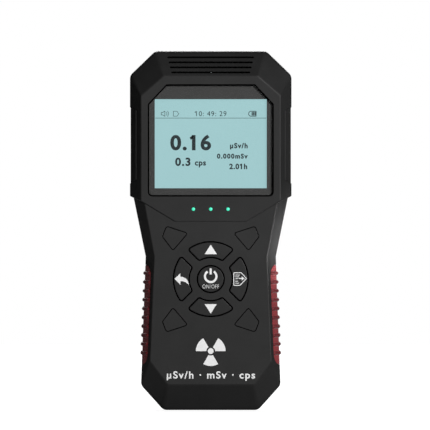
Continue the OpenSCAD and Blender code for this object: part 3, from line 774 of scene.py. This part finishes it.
def flared(name, outline, face_y, end_y, lip=0.08):
    """Cutter for an opening whose edge at the face is softened."""
    way = 1 if end_y > face_y else -1
    return profiled(name, outline, [
        (face_y - way * 0.5, lip), (face_y, lip), (face_y + way * lip * 0.3, lip * 0.3),
        (face_y + way * lip, 0), (end_y, 0)])


def inset_cutter(s):
    """Shallow panel in one side of the head."""
    depth = 0.3
    out = HEAD_HW + 2
    plan = [
        (FACE_HW - depth, FACE_Y), (HEAD_HW - depth, FACE_Y + HEAD_BEVEL),
        (HEAD_HW - depth, BACK_Y - HEAD_BEVEL), (FACE_HW - 1 - depth, BACK_Y), (out, BACK_Y), (out, FACE_Y)]
    front, back = INSET_FRONT, BACK_Y - 4
    low, high = INSET_LOW, INSET_HIGH
    side = rounded([
        (front, low + INSET_CUT_Z, 1), (front + INSET_RUN, low, 1),
        (back - INSET_RUN, low, 1), (back, low + INSET_CUT_Z, 1),
        (back, high - INSET_CUT_Z, 1), (back - INSET_RUN, high, 1),
        (front + INSET_RUN, high, 1), (front, high - INSET_CUT_Z, 1)])
    return side_tool(plan, side, s, out + 1)


def side_tool(plan, side, s, out):
    """What a plan from above and an outline from the side have in common, on one side of the head."""
    tool = prism("tool", [Vector((s * x, y)) for x, y in plan], "z", INSET_LOW - 1, INSET_HIGH + 1)
    return combine(tool, prism("tool_side", side, "x", *sorted((s * 20, s * out))), "INTERSECT")


def inset_bead(s):
    """Narrow raised edge along the front of a side panel."""
    rise, sunk, width = 0.35, 0.6, 0.7
    front, end = INSET_FRONT, INSET_FRONT + 0.75 * INSET_RUN
    slope = (HEAD_HW - FACE_HW) / HEAD_BEVEL
    plan = [
        (FACE_HW + rise, FACE_Y), (HEAD_HW + rise - slope, FACE_Y + HEAD_BEVEL - 1),
        (HEAD_HW - sunk - slope, FACE_Y + HEAD_BEVEL - 1), (FACE_HW - sunk, FACE_Y)]
    half = (INSET_HIGH - INSET_LOW) / 2
    middle = (INSET_HIGH + INSET_LOW) / 2
    upper = [
        (front + width, half - INSET_CUT_Z - width * 0.7), (end, half - INSET_CUT_Z / 4 - width),
        (end, half - INSET_CUT_Z / 4), (front, half - INSET_CUT_Z)]
    line = [Vector((y, middle + z)) for y, z in upper]
    line += [Vector((y, middle - z)) for y, z in reversed(upper)]
    return side_tool(plan, line, s, HEAD_HW + 3)


# ---------------------------------------------------------------- grips

GRIP_FRONT_Y = KEYPAD_Y + 2
GRIP_BACK_Y = BACK_Y - 3.5
GRIP_Z = GRIP_LOW.z
GRIP_TOP = GRIP_HIGH.z
GRIP_END_R = 5.0
GRIP_SEAT = 1.6
RIBS = 10
RIB_PITCH = 3.95
RIB_H = 0.8
LEAN = math.atan((FOOT_HW - WAIST_HW) / (WAIST_Z - FOOT_CUT_Z))


def grip_path():
    """The skin of the handle's right side at the waist, from front to back: (x, y) points."""
    front_slope = (WAIST_HW - WAIST_FACE_HW) / HANDLE_BEVEL
    front_x = WAIST_HW - front_slope * (KEYPAD_Y + HANDLE_BEVEL - GRIP_FRONT_Y)
    back_slope = (WAIST_HW - WAIST_FACE_HW + 1) / HANDLE_BEVEL
    back_x = WAIST_HW - back_slope * (GRIP_BACK_Y - (BACK_Y - HANDLE_BEVEL))
    return [
        Vector((front_x, GRIP_FRONT_Y)), Vector((WAIST_HW, KEYPAD_Y + HANDLE_BEVEL)),
        Vector((WAIST_HW, BACK_Y - HANDLE_BEVEL)), Vector((back_x, GRIP_BACK_Y))]


def leaned(x, y, z, s):
    """A point of the upright grip, turned with the side of the handle."""
    dx, dz = x - WAIST_HW, z - WAIST_Z
    return (
        s * (WAIST_HW + dx * math.cos(LEAN) - dz * math.sin(LEAN)), y,
        WAIST_Z + dx * math.sin(LEAN) + dz * math.cos(LEAN))


def grip_seat_cutter(s):
    """What the seat of one grip removes from the case."""
    path = grip_path()
    deep = [Vector((p.x - GRIP_SEAT, p.y)) for p in path]
    far = [Vector((p.x + 4, p.y)) for p in path]
    plan = far + deep[::-1]
    rings = [[leaned(p.x, p.y, z, s) for p in plan] for z in (GRIP_Z - 1, GRIP_TOP + 1)]
    side = rounded([(p.x, p.y, GRIP_END_R) for p in bar(GRIP_FRONT_Y, GRIP_BACK_Y, GRIP_Z, GRIP_TOP)])
    ends = prism("seat_side", side, "x", *sorted((s * 15, s * (HEAD_HW + 4))))
    return combine(new_piece("seat", *ring_stack(rings)), ends, "INTERSECT")


def on_path(path, y):
    """Point and outward normal of the grip's section at depth y, its corners rounded off."""
    soft = 0.9
    samples = []
    for at in (y - soft, y - soft / 2, y, y + soft / 2, y + soft):
        for a, b in zip(path, path[1:]):
            before, after = at < path[0].y and a is path[0], at > path[-1].y and b is path[-1]
            if a.y <= at <= b.y or before or after:
                share = (at - a.y) / (b.y - a.y)
                tangent = (b - a).normalized()
                samples.append((a.x + (b.x - a.x) * share, Vector((tangent.y, -tangent.x))))
                break
    x = sum(sample[0] for sample in samples) / len(samples)
    normal = sum((sample[1] for sample in samples), Vector((0, 0))).normalized()
    return Vector((x, y)), normal


def rib_height(z):
    """How far the ribs stand out at height z."""
    nearest = min(abs(z - (GRIP_TOP - 3.8 - i * RIB_PITCH)) for i in range(RIBS)) / 0.85
    return RIB_H * (1 - nearest ** 2.6) ** 0.7 if nearest < 1 else 0.0


def sheet_faces(rows, columns):
    """Faces of two sheets of points, one behind the other, and of the rim between them."""
    width = columns + 1
    count = (rows + 1) * width
    faces = []
    for r in range(rows):
        for c in range(columns):
            a = r * width + c
            quad = (a, a + 1, a + width + 1, a + width)
            faces += [quad, tuple(count + i for i in reversed(quad))]
    rim = list(range(width)) + [r * width + columns for r in range(1, rows + 1)]
    rim += [rows * width + c for c in range(columns - 1, -1, -1)]
    rim += [r * width for r in range(rows - 1, 0, -1)]
    return faces + [(b, a, a + count, b + count) for a, b in zip(rim, rim[1:] + rim[:1])]


def make_grip(name, s):
    """Ribbed rubber pad that wraps the side of the handle, its edges and rib ends rounded."""
    gap, edge = 0.08, 0.5
    path = grip_path()
    middle = Vector(((GRIP_FRONT_Y + GRIP_BACK_Y) / 2, (GRIP_Z + GRIP_TOP) / 2))
    half = Vector(((GRIP_BACK_Y - GRIP_FRONT_Y) / 2 - gap, (GRIP_TOP - GRIP_Z) / 2 - gap))

    def to_border(y, z):
        """Distance from a point of the pad to its rounded outline."""
        q = Vector((abs(y - middle.x) - half.x + GRIP_END_R, abs(z - middle.y) - half.y + GRIP_END_R))
        return GRIP_END_R - Vector((max(q.x, 0), max(q.y, 0))).length - min(max(q.x, q.y), 0)

    def eased(count):
        """Steps from 0 to 1 that are closer together near both ends."""
        return [(1 - math.cos(math.pi * i / count)) / 2 * 0.35 + i / count * 0.65 for i in range(count + 1)]

    rows, columns = 230, 56
    outer, inner = [], []
    for v in eased(rows):
        z = middle.y - half.y + 2 * half.y * v
        into = max(0.0, abs(z - middle.y) - half.y + GRIP_END_R)
        reach = half.x - GRIP_END_R + math.sqrt(max(0.0, GRIP_END_R ** 2 - into ** 2))
        for u in eased(columns):
            y = middle.x - reach + 2 * reach * u
            point, normal = on_path(path, y)
            border = max(0.0, to_border(y, z))
            drop = edge - math.sqrt(edge ** 2 - (edge - border) ** 2) if border < edge else 0.0
            rise = min(1.0, max(0.0, border - 0.15) / 0.7)
            skin = point + normal * (rib_height(z) * math.sin(rise * math.pi / 2) - drop)
            outer.append(leaned(skin.x, skin.y, z, s))
            deep = point + normal * (-GRIP_SEAT + 0.1)
            inner.append(leaned(deep.x, deep.y, z, s))
    return smooth(new_piece(name, outer + inner, sheet_faces(rows, columns)), 50)


def on_rib_painted_shade(at, normal):
    """True on the crests of a grip's ribs, which are painted a darker red as shade."""
    rise = (at.z - WAIST_Z) * math.cos(LEAN) - (abs(at.x) - WAIST_HW) * math.sin(LEAN)
    return rib_height(WAIST_Z + rise) > 0.3


# ---------------------------------------------------------------- shells

FRONT_LINES = ((HEAD_SIDE, HEAD_FACE), (NECK_SIDE, NECK_FACE), (HANDLE_SIDE, HANDLE_FACE))
REAR_LINES = ((HEAD_SIDE, HEAD_BACK), (NECK_SIDE, NECK_BACK), (HANDLE_SIDE, HANDLE_BACK))


def pocket_cutters():
    """Seat of the socket cover in the left side wall, and the opening to the socket."""
    z0, z1 = FLAP_LOW.z - 0.2, FLAP_HIGH.z + 0.2
    front = FLAP_LOW.y - 0.2
    plan = rounded([
        (-HEAD_HW - 1, front, 0.05), (PIN_X + 0.25, front, 0.3), (PIN_X + 0.25, PIN_Y, 0.05),
        (PIN_X, PIN_Y + 1.35, 0.3), (-HEAD_HW - 1, PIN_Y + 1.35, 0.05)])
    seat = prism("pocket", plan, "z", z0, z1)
    opening = block("opening", (-HEAD_HW - 1, PORT_Y - 2, PORT_Z - 5), (PAD_X + 1, PORT_Y + 2, PORT_Z + 5))
    nick = prism("nick", circle((-HEAD_HW - 0.4, FLAP_LOW.y - 0.4), 1.5), "z", PORT_Z - 4, PORT_Z + 4)
    pin = prism("pin_hole", circle((PIN_X, PIN_Y), 0.5, 24), "z", PIN_LOW.z, PIN_HIGH.z)
    return seat, opening, nick, pin


def front_bosses():
    """Bosses for the screws of the case and the board, and the pad behind the socket cover."""
    inner = FACE_INNER_Y - 0.4
    board_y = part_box("main_board")[0].y / MM
    bosses = [rod("boss", at, inner, JOINT_Y - 0.05, FRONT_BOSS_R) for at in CASE_SCREWS]
    bosses += [rod("boss", at, inner, board_y, BOARD_BOSS_R) for at in BOARD_SCREWS]
    low, high = (PAD_X - 1.6, FLAP_LOW.y - 2, PORT_Z - 13.5), (PAD_X, JOINT_Y - 0.8, PORT_Z + 13.5)
    return bosses + [block("pad", low, high)]


def front_openings():
    """Cutters for the keys, lights, kites, display recess and vents."""
    openings = [flared("key_hole", line, KEYPAD_Y, KEYPAD_INNER_Y + 0.5) for line in KEY_HOLES]
    openings += [
        rod("light_hole", at, FACE_Y - 1, FACE_INNER_Y + 1, LIGHT_R + 0.02, 32) for at in LIGHTS]
    openings += [groove_cutter("kite", line, KEYPAD_Y, half_width=0.19, depth=0.4) for line in KITES]
    openings.append(flared("recess", grown(WINDOW, GROOVE / 2), FACE_Y, FACE_Y + 1.5))
    return openings + [
        prism("vent", slot, "y", FACE_Y - 1, FACE_Y + HEAD_BEVEL + 6) for slot in VENT_SLOTS]


def case_front():
    """Front shell with its bosses, openings, screw holes and the seats in its sides."""
    form = case_form("case_front", JOINT_Y, FACE_Y, KEYPAD_Y, FRONT_LINES)
    cut(form, cavity_form(JOINT_Y, FACE_INNER_Y, KEYPAD_INNER_Y, FRONT_LINES))
    unite(form, joined("bosses", front_bosses()))
    cut(form, joined("openings", front_openings()))
    cut(form, prism("screen_hole", SCREEN, "y", FACE_Y, FACE_INNER_Y + 1))
    holes = [rod("screw_hole", at, SCREW_TIP_Y, JOINT_Y + 1, SCREW_R, 24) for at in CASE_SCREWS]
    holes += [rod("screw_hole", at, BOARD_SCREW_TIP_Y, 0, BOARD_SCREW_R, 24) for at in BOARD_SCREWS]
    cut(form, joined("screw_holes", holes))
    for s in SIDES:
        cut(form, inset_cutter(s), grip_seat_cutter(s))
        unite(form, inset_bead(s))
    cut(form, *pocket_cutters())
    return smooth(form)


# outlines inside which gap walls are painted black as shade
WINDOW_GAP = grown(WINDOW, GROOVE / 2 + 0.05)
LOW_GAPS = [grown(line, 0.05) for line in KEY_HOLES] + [grown(line, 0.5) for line in KITES]


def front_gap_painted_shade(at, normal):
    """True on the walls of the grooves, key openings and vent slots, which are painted black as shade."""
    if any(contains(grown(slot, 0.05), at.x, at.z) for slot in VENT_SLOTS):
        return abs(normal.y) < 0.3
    if at.y > KEYPAD_INNER_Y + 0.05:
        return False
    deep = at.y > KEYPAD_Y + 0.08 and any(contains(line, at.x, at.z) for line in LOW_GAPS)
    return deep or (at.y > FACE_Y + 0.08 and contains(WINDOW_GAP, at.x, at.z))


def case_rear():
    """Rear shell with its bosses, battery bay, wells, label field and screw holes."""
    form = case_form("case_rear", JOINT_Y, BACK_Y, BACK_Y, REAR_LINES)
    cut(form, cavity_form(JOINT_Y, BACK_Y - WALL, BACK_Y - WALL, REAR_LINES))
    inner = BACK_Y - WALL + 0.5
    bosses = [rod("boss", at, JOINT_Y + 0.05, inner, REAR_BOSS_R) for at in CASE_SCREWS]
    unite(form, joined("bosses", bosses))
    bay_low, out = (-BAY_HW, BAY_Y, BAY_LOW_Z), BAY_HW + BAY_WALL
    unite(form, block(
        "bay", (-out, BAY_Y - BAY_WALL, BAY_LOW_Z - BAY_WALL), (out, inner - 0.1, BAY_TOP_Z + BAY_WALL)))
    unite(form, rod("boss", DOOR_SCREW, 6, inner - 0.2, DOOR_BOSS_R))
    cut(form, block("bay_hollow", bay_low, (BAY_HW, BACK_Y - WALL, BAY_TOP_Z)))
    cut(form, block("bay_mouth", bay_low, (BAY_HW, BACK_Y + 1, BAY_MOUTH_Z)))
    cut(form, flared("door_seat", grown(DOOR, 0.15), BACK_Y, BACK_Y - 1, 0.12))
    wells = [flared("well", circle(at, WELL_R), BACK_Y, JOINT_Y + 2.5, 0.2) for at in CASE_SCREWS]
    wells.append(flared("label", LABEL, BACK_Y, BACK_Y - 0.4, 0.12))
    wells.append(rod("door_screw", DOOR_SCREW, BACK_Y - 2.2, BACK_Y - 0.5, 3.6))
    cut(form, joined("wells", wells))
    holes = [rod("screw_hole", at, JOINT_Y - 1, JOINT_Y + 3.5, SCREW_WAY_R, 24) for at in CASE_SCREWS]
    holes.append(rod("screw_hole", DOOR_SCREW, 8.5, BACK_Y, 1, 24))
    holes += [
        block("contact_slot", (x - 2.4, 1.4, 22), (x + 2.4, 4.6, 26)) for x in (-CONTACT_X, CONTACT_X)]
    cut(form, joined("screw_holes", holes))
    for s in SIDES:
        cut(form, inset_cutter(s), grip_seat_cutter(s))
    return smooth(form)


# ---------------------------------------------------------------- keys, lights, window

def key_cap(name, outline, flange, stem_at):
    """Key with a rounded top edge, a flange that keeps it in the case and a stem to its switch."""
    cap = profiled(name, outline, [
        (FLANGE_Y + 0.2, 0), (FACE_Y + 0.22, 0), (FACE_Y + 0.1, -0.03), (FACE_Y + 0.03, -0.1),
        (FACE_Y, -0.22)])
    foot = profiled("flange", flange, [(FLANGE_Y, -0.1), (FLANGE_Y + 0.1, 0), (FLANGE_Y + 1, 0)])
    stem = rod("stem", stem_at, FLANGE_Y + 0.5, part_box("power_plunger")[0].y / MM, PLUNGER_R)
    return smooth(unite(cap, foot, stem))


def key_gap_painted_shade(at, normal):
    """True on a key's walls below its rounded edge, which are painted black as shade."""
    return at.y > FACE_Y + 0.25


def make_keys():
    """The power key and the four keys round it."""
    grows = (-GROOVE / 2, GROOVE / 2 + 0.9)     # of the cap and its flange
    outlines = {"power": [circle((0, KEYS_Z), POWER_R + grow, 96) for grow in grows]}
    stems = {"power": (0, KEYS_Z)}
    for key, angle in KEY_ANGLES.items():
        outlines[key] = [ring_key(angle, grow) for grow in grows]
        stems[key] = polar(math.radians(angle), RING_SWITCH_R, (0, KEYS_Z))
    for key, (outline, flange) in outlines.items():
        cap = key_cap(key + "_cap", outline, flange, stems[key])
        # the key's walls below its rounded edge are painted black as shade
        paint(dressed(cap, key + "_button", "key_plastic", key + "_key"), "gap_painted_shade", key_gap_painted_shade)


def make_lights():
    """Three light pipes with domed heads."""
    profile = [(LIGHTS_HIGH.y, LIGHT_R + 0.6), (FACE_INNER_Y, LIGHT_R + 0.6), (FACE_INNER_Y, LIGHT_R)]
    profile += [
        (FACE_Y + 0.1 - 0.3 * math.sin(a), LIGHT_R * math.cos(a))
        for a in (math.radians(d) for d in (0, 20, 40, 60, 75))]
    pipes = [loft("light", [(y, circle(at, r, 32)) for y, r in profile]) for at in LIGHTS]
    dressed(smooth(joined("light_pipes", pipes)), "case", "light_teal", "indicator_lenses")


def make_window():
    """Clear window whose edge faces are painted black as shade in the gap round it."""
    pane = profiled("window_pane", grown(WINDOW, -GROOVE / 2), [
        (WINDOW_HIGH.y - 0.05, 0), (FACE_Y + 0.15, 0), (FACE_Y + 0.04, -0.05), (FACE_Y, -0.18)])
    dressed(smooth(pane), "case", "window_clear", "display_window")
    # the pane's edge faces are painted black as shade in the gap
    paint(pane, "gap_painted_shade", lambda at, normal: abs(normal.y) < 0.5)


def make_lcd():
    """The lit glass: a sandwich of two sheets with a thin seal between them."""
    low, high = LCD_LOW, LCD_HIGH
    middle, edge, seal, sunk = (low.y + high.y) / 2, 0.1, 0.08, 0.25
    glass = profiled("lcd_sandwich", bar(low.x, high.x, low.z, high.z), [
        (low.y, -edge), (low.y + edge, 0), (middle - seal, 0), (middle - seal, -sunk),
        (middle + seal, -sunk), (middle + seal, 0), (high.y - edge, 0), (high.y, -edge)])
    dressed(smooth(glass), "case", "screen_lit", "lcd_glass")


# ---------------------------------------------------------------- legends

def outline_mesh(name, outlines, front_y, thickness):
    """Thin raised shapes on a face that looks towards -Y."""
    return joined(name, [prism("shape", line, "y", front_y, front_y + thickness) for line in outlines])


DIGIT_HEIGHT = 0.7      # of the built-in font's size


def lettering(
        name, text, height, x, z, front_y, thickness, bold=0.0, align="CENTER", stretch=1.0, spacing=1.0):
    """Raised text from the built-in font; height is that of its digits, and z its base line."""
    curve = bpy.data.curves.new(name, "FONT")
    curve.body, curve.align_x, curve.size = text, align, 1.0
    curve.resolution_u, curve.offset, curve.space_character = 4, bold, spacing
    curve.extrude = 0.5
    obj = add_object(name, curve)
    mesh = bpy.data.meshes.new_from_object(obj.evaluated_get(bpy.context.evaluated_depsgraph_get()))
    bpy.data.objects.remove(obj)
    size = height / DIGIT_HEIGHT
    for v in mesh.vertices:
        px, py, pz = v.co
        v.co = Vector((x + px * size * stretch, front_y + (0.5 - pz) * thickness, z + py * size))
    return closed_object(name, mesh)


def lcd_text(name, text, height, x, z, bold, **style):
    piece = lettering(name, text, height, x, z, LCD_LOW.y - LCD_INK, LCD_INK, bold, **style)
    dressed(piece, "case", "print_dark")


def lcd_shapes(name, outlines):
    dressed(outline_mesh(name, outlines, LCD_LOW.y - LCD_INK, LCD_INK), "case", "print_dark")


def arc_band(centre, radius, half_width, first, last, steps=24):
    """Outline of part of a ring, between two angles in degrees."""
    points = []
    for r, order in ((radius + half_width, range(steps + 1)), (radius - half_width, range(steps, -1, -1))):
        for i in order:
            points.append(polar(math.radians(first + (last - first) * i / steps), r, centre))
    return points


def stroke(a, b, width):
    """Straight line of a width between two points."""
    a, b = Vector(a), Vector(b)
    d = (b - a).normalized()
    side = Vector((-d.y, d.x)) * width / 2
    return [a - side, b - side, b + side, a + side]


def contour(points, width):
    """Strokes of a width round a closed outline."""
    return [stroke(a, b, width) for a, b in zip(points, points[1:] + points[:1])]


def flag_of_one(x, top, size):
    """The slanted stroke that the built-in font's figure 1 lacks, at the top left of its stem."""
    shape = ((0.75, 0), (0, 0), (-1.2, -0.95), (-0.7, -2.0), (0.1, -1.4))
    return [Vector((x + dx * size, top + dz * size)) for dx, dz in shape]


def status_marks():
    """Rule under the status line, and its loudspeaker, tag and battery signs."""
    line_z = 130.0
    mid = line_z + 1.95
    signs = (
        (0.22, ((-22.0, -0.55), (-22.0, 0.55), (-21.3, 0.55), (-20.4, 1.2), (-20.4, -1.2), (-21.3, -0.55))),
        (0.2, ((-16.6, -1.1), (-16.6, 1.1), (-15.0, 1.1), (-14.2, 0), (-15.0, -1.1))),
        (0.3, ((17.6, 1.1), (20.2, 1.1), (20.2, -1.1), (17.6, -1.1), (16.9, -0.5), (16.9, 0.5))))
    marks = [bar(-SCREEN_HW + 0.2, SCREEN_HW - 0.2, line_z - 0.1, line_z + 0.1)]
    for width, points in signs:
        marks += contour([(x, mid + z) for x, z in points], width)
    marks += [arc_band((-20.6, mid), r, 0.1, -42, 42, 10) for r in (1.1, 1.8)]
    return marks + [bar(x, x + 0.5, mid - 0.8, mid + 0.8) for x in (18.2, 18.85, 19.5)]


def make_screen_content():
    """The readings, their units and the status line."""
    lcd_text("lcd_dose_rate", "0.16", 6.3, -8.9, 116.0, 0.035, stretch=1.06, spacing=1.12)
    lcd_text("lcd_count", "0.3", 3.4, -12.3, 108.9, 0.036, stretch=1.04, spacing=1.16)
    lcd_text("lcd_count_unit", "cps", 2.5, -4.6, 109.0, 0.032, spacing=1.08)
    lcd_text("lcd_rate_unit", "µSv/h", 2.15, 16.5, 116.7, 0.042, align="RIGHT", spacing=1.2)
    lcd_text("lcd_dose", "0.000mSv", 2.0, 16.3, 112.1, 0.045, align="RIGHT", spacing=1.24)
    lcd_text("lcd_time_on", "2.01h", 2.25, 16.3, 107.4, 0.04, align="RIGHT", spacing=1.14)
    lcd_text("lcd_clock", "10: 49: 29", 2.2, 0.0, 130.9, 0.0, spacing=1.12)
    lcd_shapes("lcd_status_marks", status_marks())
    flags = ((-8.18, 122.3, 1.0), (13.35, 109.6, 0.42), (-6.75, 133.0, 0.36))
    lcd_shapes("lcd_figure_flags", [flag_of_one(*flag) for flag in flags])


def icon(name, body, outlines, face_y=FACE_Y):
    """White printed shapes."""
    dressed(outline_mesh(name, outlines, face_y - INK, INK * 2), body, "print_white")


def legend(name, body, text, height, z, face_y, **style):
    """White printed text on the middle line."""
    dressed(lettering(name, text, height, 0, z, face_y - INK, INK * 2, **style), body, "print_white")


def make_key_icons():
    """Arrows, power sign and export sheet on the keys."""
    for key, s in (("up", 1), ("down", -1)):
        base, tip = RING_SWITCH_R - 2.0, RING_SWITCH_R + 2.2
        arrow = [Vector((x, KEYS_Z + s * r)) for x, r in ((-2.7, base), (2.7, base), (0, tip))]
        icon(key + "_icon", key + "_button", [arrow])
    power_z = KEYS_Z + 1.25
    icon("power_icon", "power_button", [
        arc_band((0, power_z), 2.55, 0.48, 90 + 33, 90 + 327, 40),
        bar(-0.46, 0.46, power_z + 0.85, power_z + 3.5)])
    legend(
        "power_legend", "power_button", "ON/OFF", 1.8, KEYS_Z - 4.15, FACE_Y,
        bold=-0.012, stretch=0.76, spacing=1.08)
    icon("back_icon", "back_button", [back_arrow()])
    icon("export_icon", "export_button", export_marks())


def back_arrow():
    """Curved arrow that points left."""
    tip = Vector((-16.05, KEYS_Z + 0.15))
    tail = (6.25, -2.75)
    upper = [Vector((0, 0)), Vector((2.55, 2.45)), *bent((2.55, 1.0), (6.1, 0.6), tail)]
    lower = [*bent(tail, (5.0, -1.05), (2.55, -1.03))[1:], Vector((2.55, -2.65))]
    return [tip + p for p in upper + lower]


def export_marks():
    """Sheet with lines, and an arrow that leaves it to the right."""
    left, right, low, high = 10.25, 14.0, KEYS_Z - 2.75, KEYS_Z + 2.85
    point = (15.9, KEYS_Z + 0.3)
    marks = contour([(left, low), (left, high), (13.6, high), point, (13.0, low)], 0.36)
    marks += [bar(left + 0.7, left + 0.7 + w, z, z + 0.3) for z, w in (
        (high - 1.2, 2.0), (high - 2.0, 1.6), (high - 2.8, 1.2), (low + 1.7, 1.2), (low + 0.8, 1.6))]
    marks.append(bar(12.4, right - 0.2, KEYS_Z + 0.08, KEYS_Z + 0.52))
    head = ((right - 0.25, KEYS_Z + 1.25), (right - 0.25, KEYS_Z - 0.65), (15.0, KEYS_Z + 0.3))
    marks.append([Vector(p) for p in head])
    return marks


def make_front_print():
    """Radiation symbol and the line of units under it."""
    centre, radius, hub = (0, 26.4), 6.6, 1.95
    sectors = [arc_band(centre, (radius + hub) / 2, (radius - hub) / 2, a, a + 60) for a in (0, 120, 240)]
    icon("trefoil", "case", sectors + [circle(centre, 1.3, 40)], KEYPAD_Y)
    legend(
        "unit_legend", "case", "µSv/h · mSv · cps", 3.1, 14.3, KEYPAD_Y,
        bold=0.022, stretch=1.06, spacing=1.2)


# ---------------------------------------------------------------- back and side

def battery_door():
    """Door with a rounded edge, finger grooves, inner rim, two catches and its screw seat."""
    rim_hw = BAY_HW - 0.2
    door = profiled("battery_door", DOOR, [
        (BACK_Y - 1, 0), (BACK_Y - 0.3, 0), (BACK_Y - 0.1, -0.08), (BACK_Y, -0.3)])
    unite(door, block(
        "rim", (-rim_hw, BACK_Y - 1.9, BAY_LOW_Z + 0.2), (rim_hw, BACK_Y - 0.9, BAY_MOUTH_Z - 0.2)))
    for x in (-CATCH_X, CATCH_X):
        unite(door, block("catch", (x - 3, BACK_Y - 2.55, 61), (x + 3, BACK_Y - 1.8, 65.7)))
    unite(door, rod("seat", DOOR_SCREW, BACK_Y - 2.2, BACK_Y - 0.5, 3.4))
    grooves = [
        flared("groove", plate(8, z - 0.3, z + 0.3, 0.28), BACK_Y, BACK_Y - 0.3, 0.1)
        for z in (56.3 + i * 1.4 for i in range(5))]
    grooves += [
        block("gap", (x - 4, BACK_Y - 2.1, 62.6), (x + 4, BACK_Y - 1, 66.5)) for x in (-CATCH_X, CATCH_X)]
    grooves.append(flared("screw_seat", circle(DOOR_SCREW, 2.4), BACK_Y, BACK_Y - 1.2, 0.12))
    cut(door, joined("grooves", grooves))
    cut(door, rod("screw_hole", DOOR_SCREW, BACK_Y - 3, BACK_Y + 1, SCREW_WAY_R))
    return smooth(door)


def socket_flap():
    """Rubber cover with a rounded plate, a knuckle round its pin and a plug."""
    outer_x, inner_x = FLAP_LOW.x, FLAP_LOW.x + 1.3
    z0, z1 = FLAP_LOW.z, FLAP_HIGH.z
    side = rounded([(FLAP_LOW.y, z0, 1.0), (PIN_Y, z0, 0.5), (PIN_Y, z1, 0.5), (FLAP_LOW.y, z1, 1.0)])
    depths = ((outer_x, -0.35), (outer_x + 0.1, -0.12), (outer_x + 0.3, 0.0), (inner_x, 0.0))
    rings = [[(x, p.x, p.y) for p in grown(side, d)] for x, d in depths]
    flap = new_piece("socket_flap", *ring_stack(rings))
    unite(flap, prism("knuckle", circle((PIN_X, PIN_Y), 1.17), "z", z0 + 0.03, z1 - 0.03))
    plug = rounded([(p.x, p.y, 1.5) for p in bar(PORT_Y - 1.65, PORT_Y + 1.65, PORT_Z - 4.5, PORT_Z + 4.5)])
    unite(flap, prism("plug", plug, "x", PIN_X - 0.1, PIN_X + 1.1))
    cut(flap, prism("bore", circle((PIN_X, PIN_Y), 0.55, 32), "z", z0 - 1, z1 + 1))
    return smooth(flap)


# ---------------------------------------------------------------- set

def add_light(name, at, aim, size, watts, spread=180):
    """Square soft light; spread narrows its beam, in degrees."""
    lamp = bpy.data.lights.new(name, "AREA")
    lamp.shape, lamp.size, lamp.energy, lamp.spread = "SQUARE", size, watts, math.radians(spread)
    obj = add_object(name, lamp)
    obj.location = at
    obj.rotation_euler = (Vector(aim) - Vector(at)).to_track_quat("-Z", "Y").to_euler()


def make_floor():
    """Pale floor that the camera sees as white."""
    reach = 1500
    corners = [(p.x, p.y, 0) for p in bar(-reach, reach, -reach, reach)]
    floor = new_piece("floor", corners, [(0, 1, 2, 3)])
    finish = Finish("floor_white", "949494", 0.8, specular=0.1)
    finish.mottle(finish.noise(4, 3), 0.01)
    finish.wear(finish.noise(8, 3), 0.05)
    lift = finish.ranged(finish.node("LightPath").outputs["Is Camera Ray"], 0, 0.9, 0, 1)
    finish.shade({"Emission Strength": lift, "Emission Color": (1, 1, 1, 1)})
    floor.data.transform(Matrix.Scale(MM, 4))
    floor.data.materials.append(finish.material)
    floor.location.z = -0.0002


SOFT_FROM = (0.4, -0.92, 0.0)    # where the soft light is brightest
SOFT_LIGHT = 0.62


def make_world():
    """White behind the object; a softer, uneven light on it."""
    world = bpy.data.worlds.new("studio")
    bpy.context.scene.world = world
    world.use_nodes = True
    tree = world.node_tree
    tree.nodes.clear()

    white = (1, 1, 1, 1)
    place = add_node(tree, "TexCoord").outputs["Generated"]
    source = Vector(SOFT_FROM).normalized()
    toward = add_node(tree, "VectorMath", {0: place, 1: source}, operation="DOT_PRODUCT").outputs["Value"]
    reach = add_node(tree, "MapRange", {
        "Value": toward, "From Min": 0.4, "From Max": 1.0, "To Min": 0.0, "To Max": SOFT_LIGHT})
    soft = add_node(tree, "Background", {"Color": white, "Strength": reach.outputs[0]})
    seen = add_node(tree, "Background", {"Color": white})
    path = add_node(tree, "LightPath").outputs["Is Camera Ray"]
    mix = add_node(tree, "MixShader", {0: path, 1: soft.outputs[0], 2: seen.outputs[0]})
    add_node(tree, "OutputWorld", {"Surface": mix.outputs[0]})


def make_camera():
    """Level view straight at the front, from far away."""
    distance, frame_height = 3.0, 0.1911
    data = bpy.data.cameras.new("camera")
    data.sensor_width = 36
    data.lens = data.sensor_width * distance / frame_height
    data.clip_end = 50
    camera = add_object("camera", data)
    camera.location = (0.0019, FACE_Y * MM - distance, 0.0869)
    camera.rotation_euler = (math.pi / 2, 0, 0)
    bpy.context.scene.camera = camera


bpy.context.scene.view_settings.view_transform = "Standard"
make_camera()
make_world()
make_floor()
middle = (0, 0, 0.08)
add_light("key", (0.75, -1.2, 0.45), middle, 0.5, 18)
add_light("back", (0.0, 1.3, 0.9), middle, 0.8, 22)
add_light("rim", (1.2, -0.12, 0.06), (0.03, 0, 0.075), 0.02, 0.007, 2)

make_materials()
dress_cad_nodes()
# walls of grooves, key openings and vent slots are painted black as shade
paint(dressed(case_front(), "case", "case_plastic", "front_shell"), "gap_painted_shade", front_gap_painted_shade)
dressed(case_rear(), "case", "case_plastic", "rear_shell")
for side, s in (("right", 1), ("left", -1)):
    grip = dressed(make_grip(side + "_grip_pad", s), "case", "grip_rubber", side + "_grip")
    # rib crests painted a darker red as shade
    paint(grip, "rib_painted_shade_rubber", on_rib_painted_shade)
dressed(battery_door(), "case", "case_plastic", "battery_cover")
dressed(socket_flap(), "socket_cover", "cover_rubber", "socket_cover")
make_window()
make_lcd()
make_lights()
make_keys()
make_screen_content()
make_key_icons()
make_front_print()
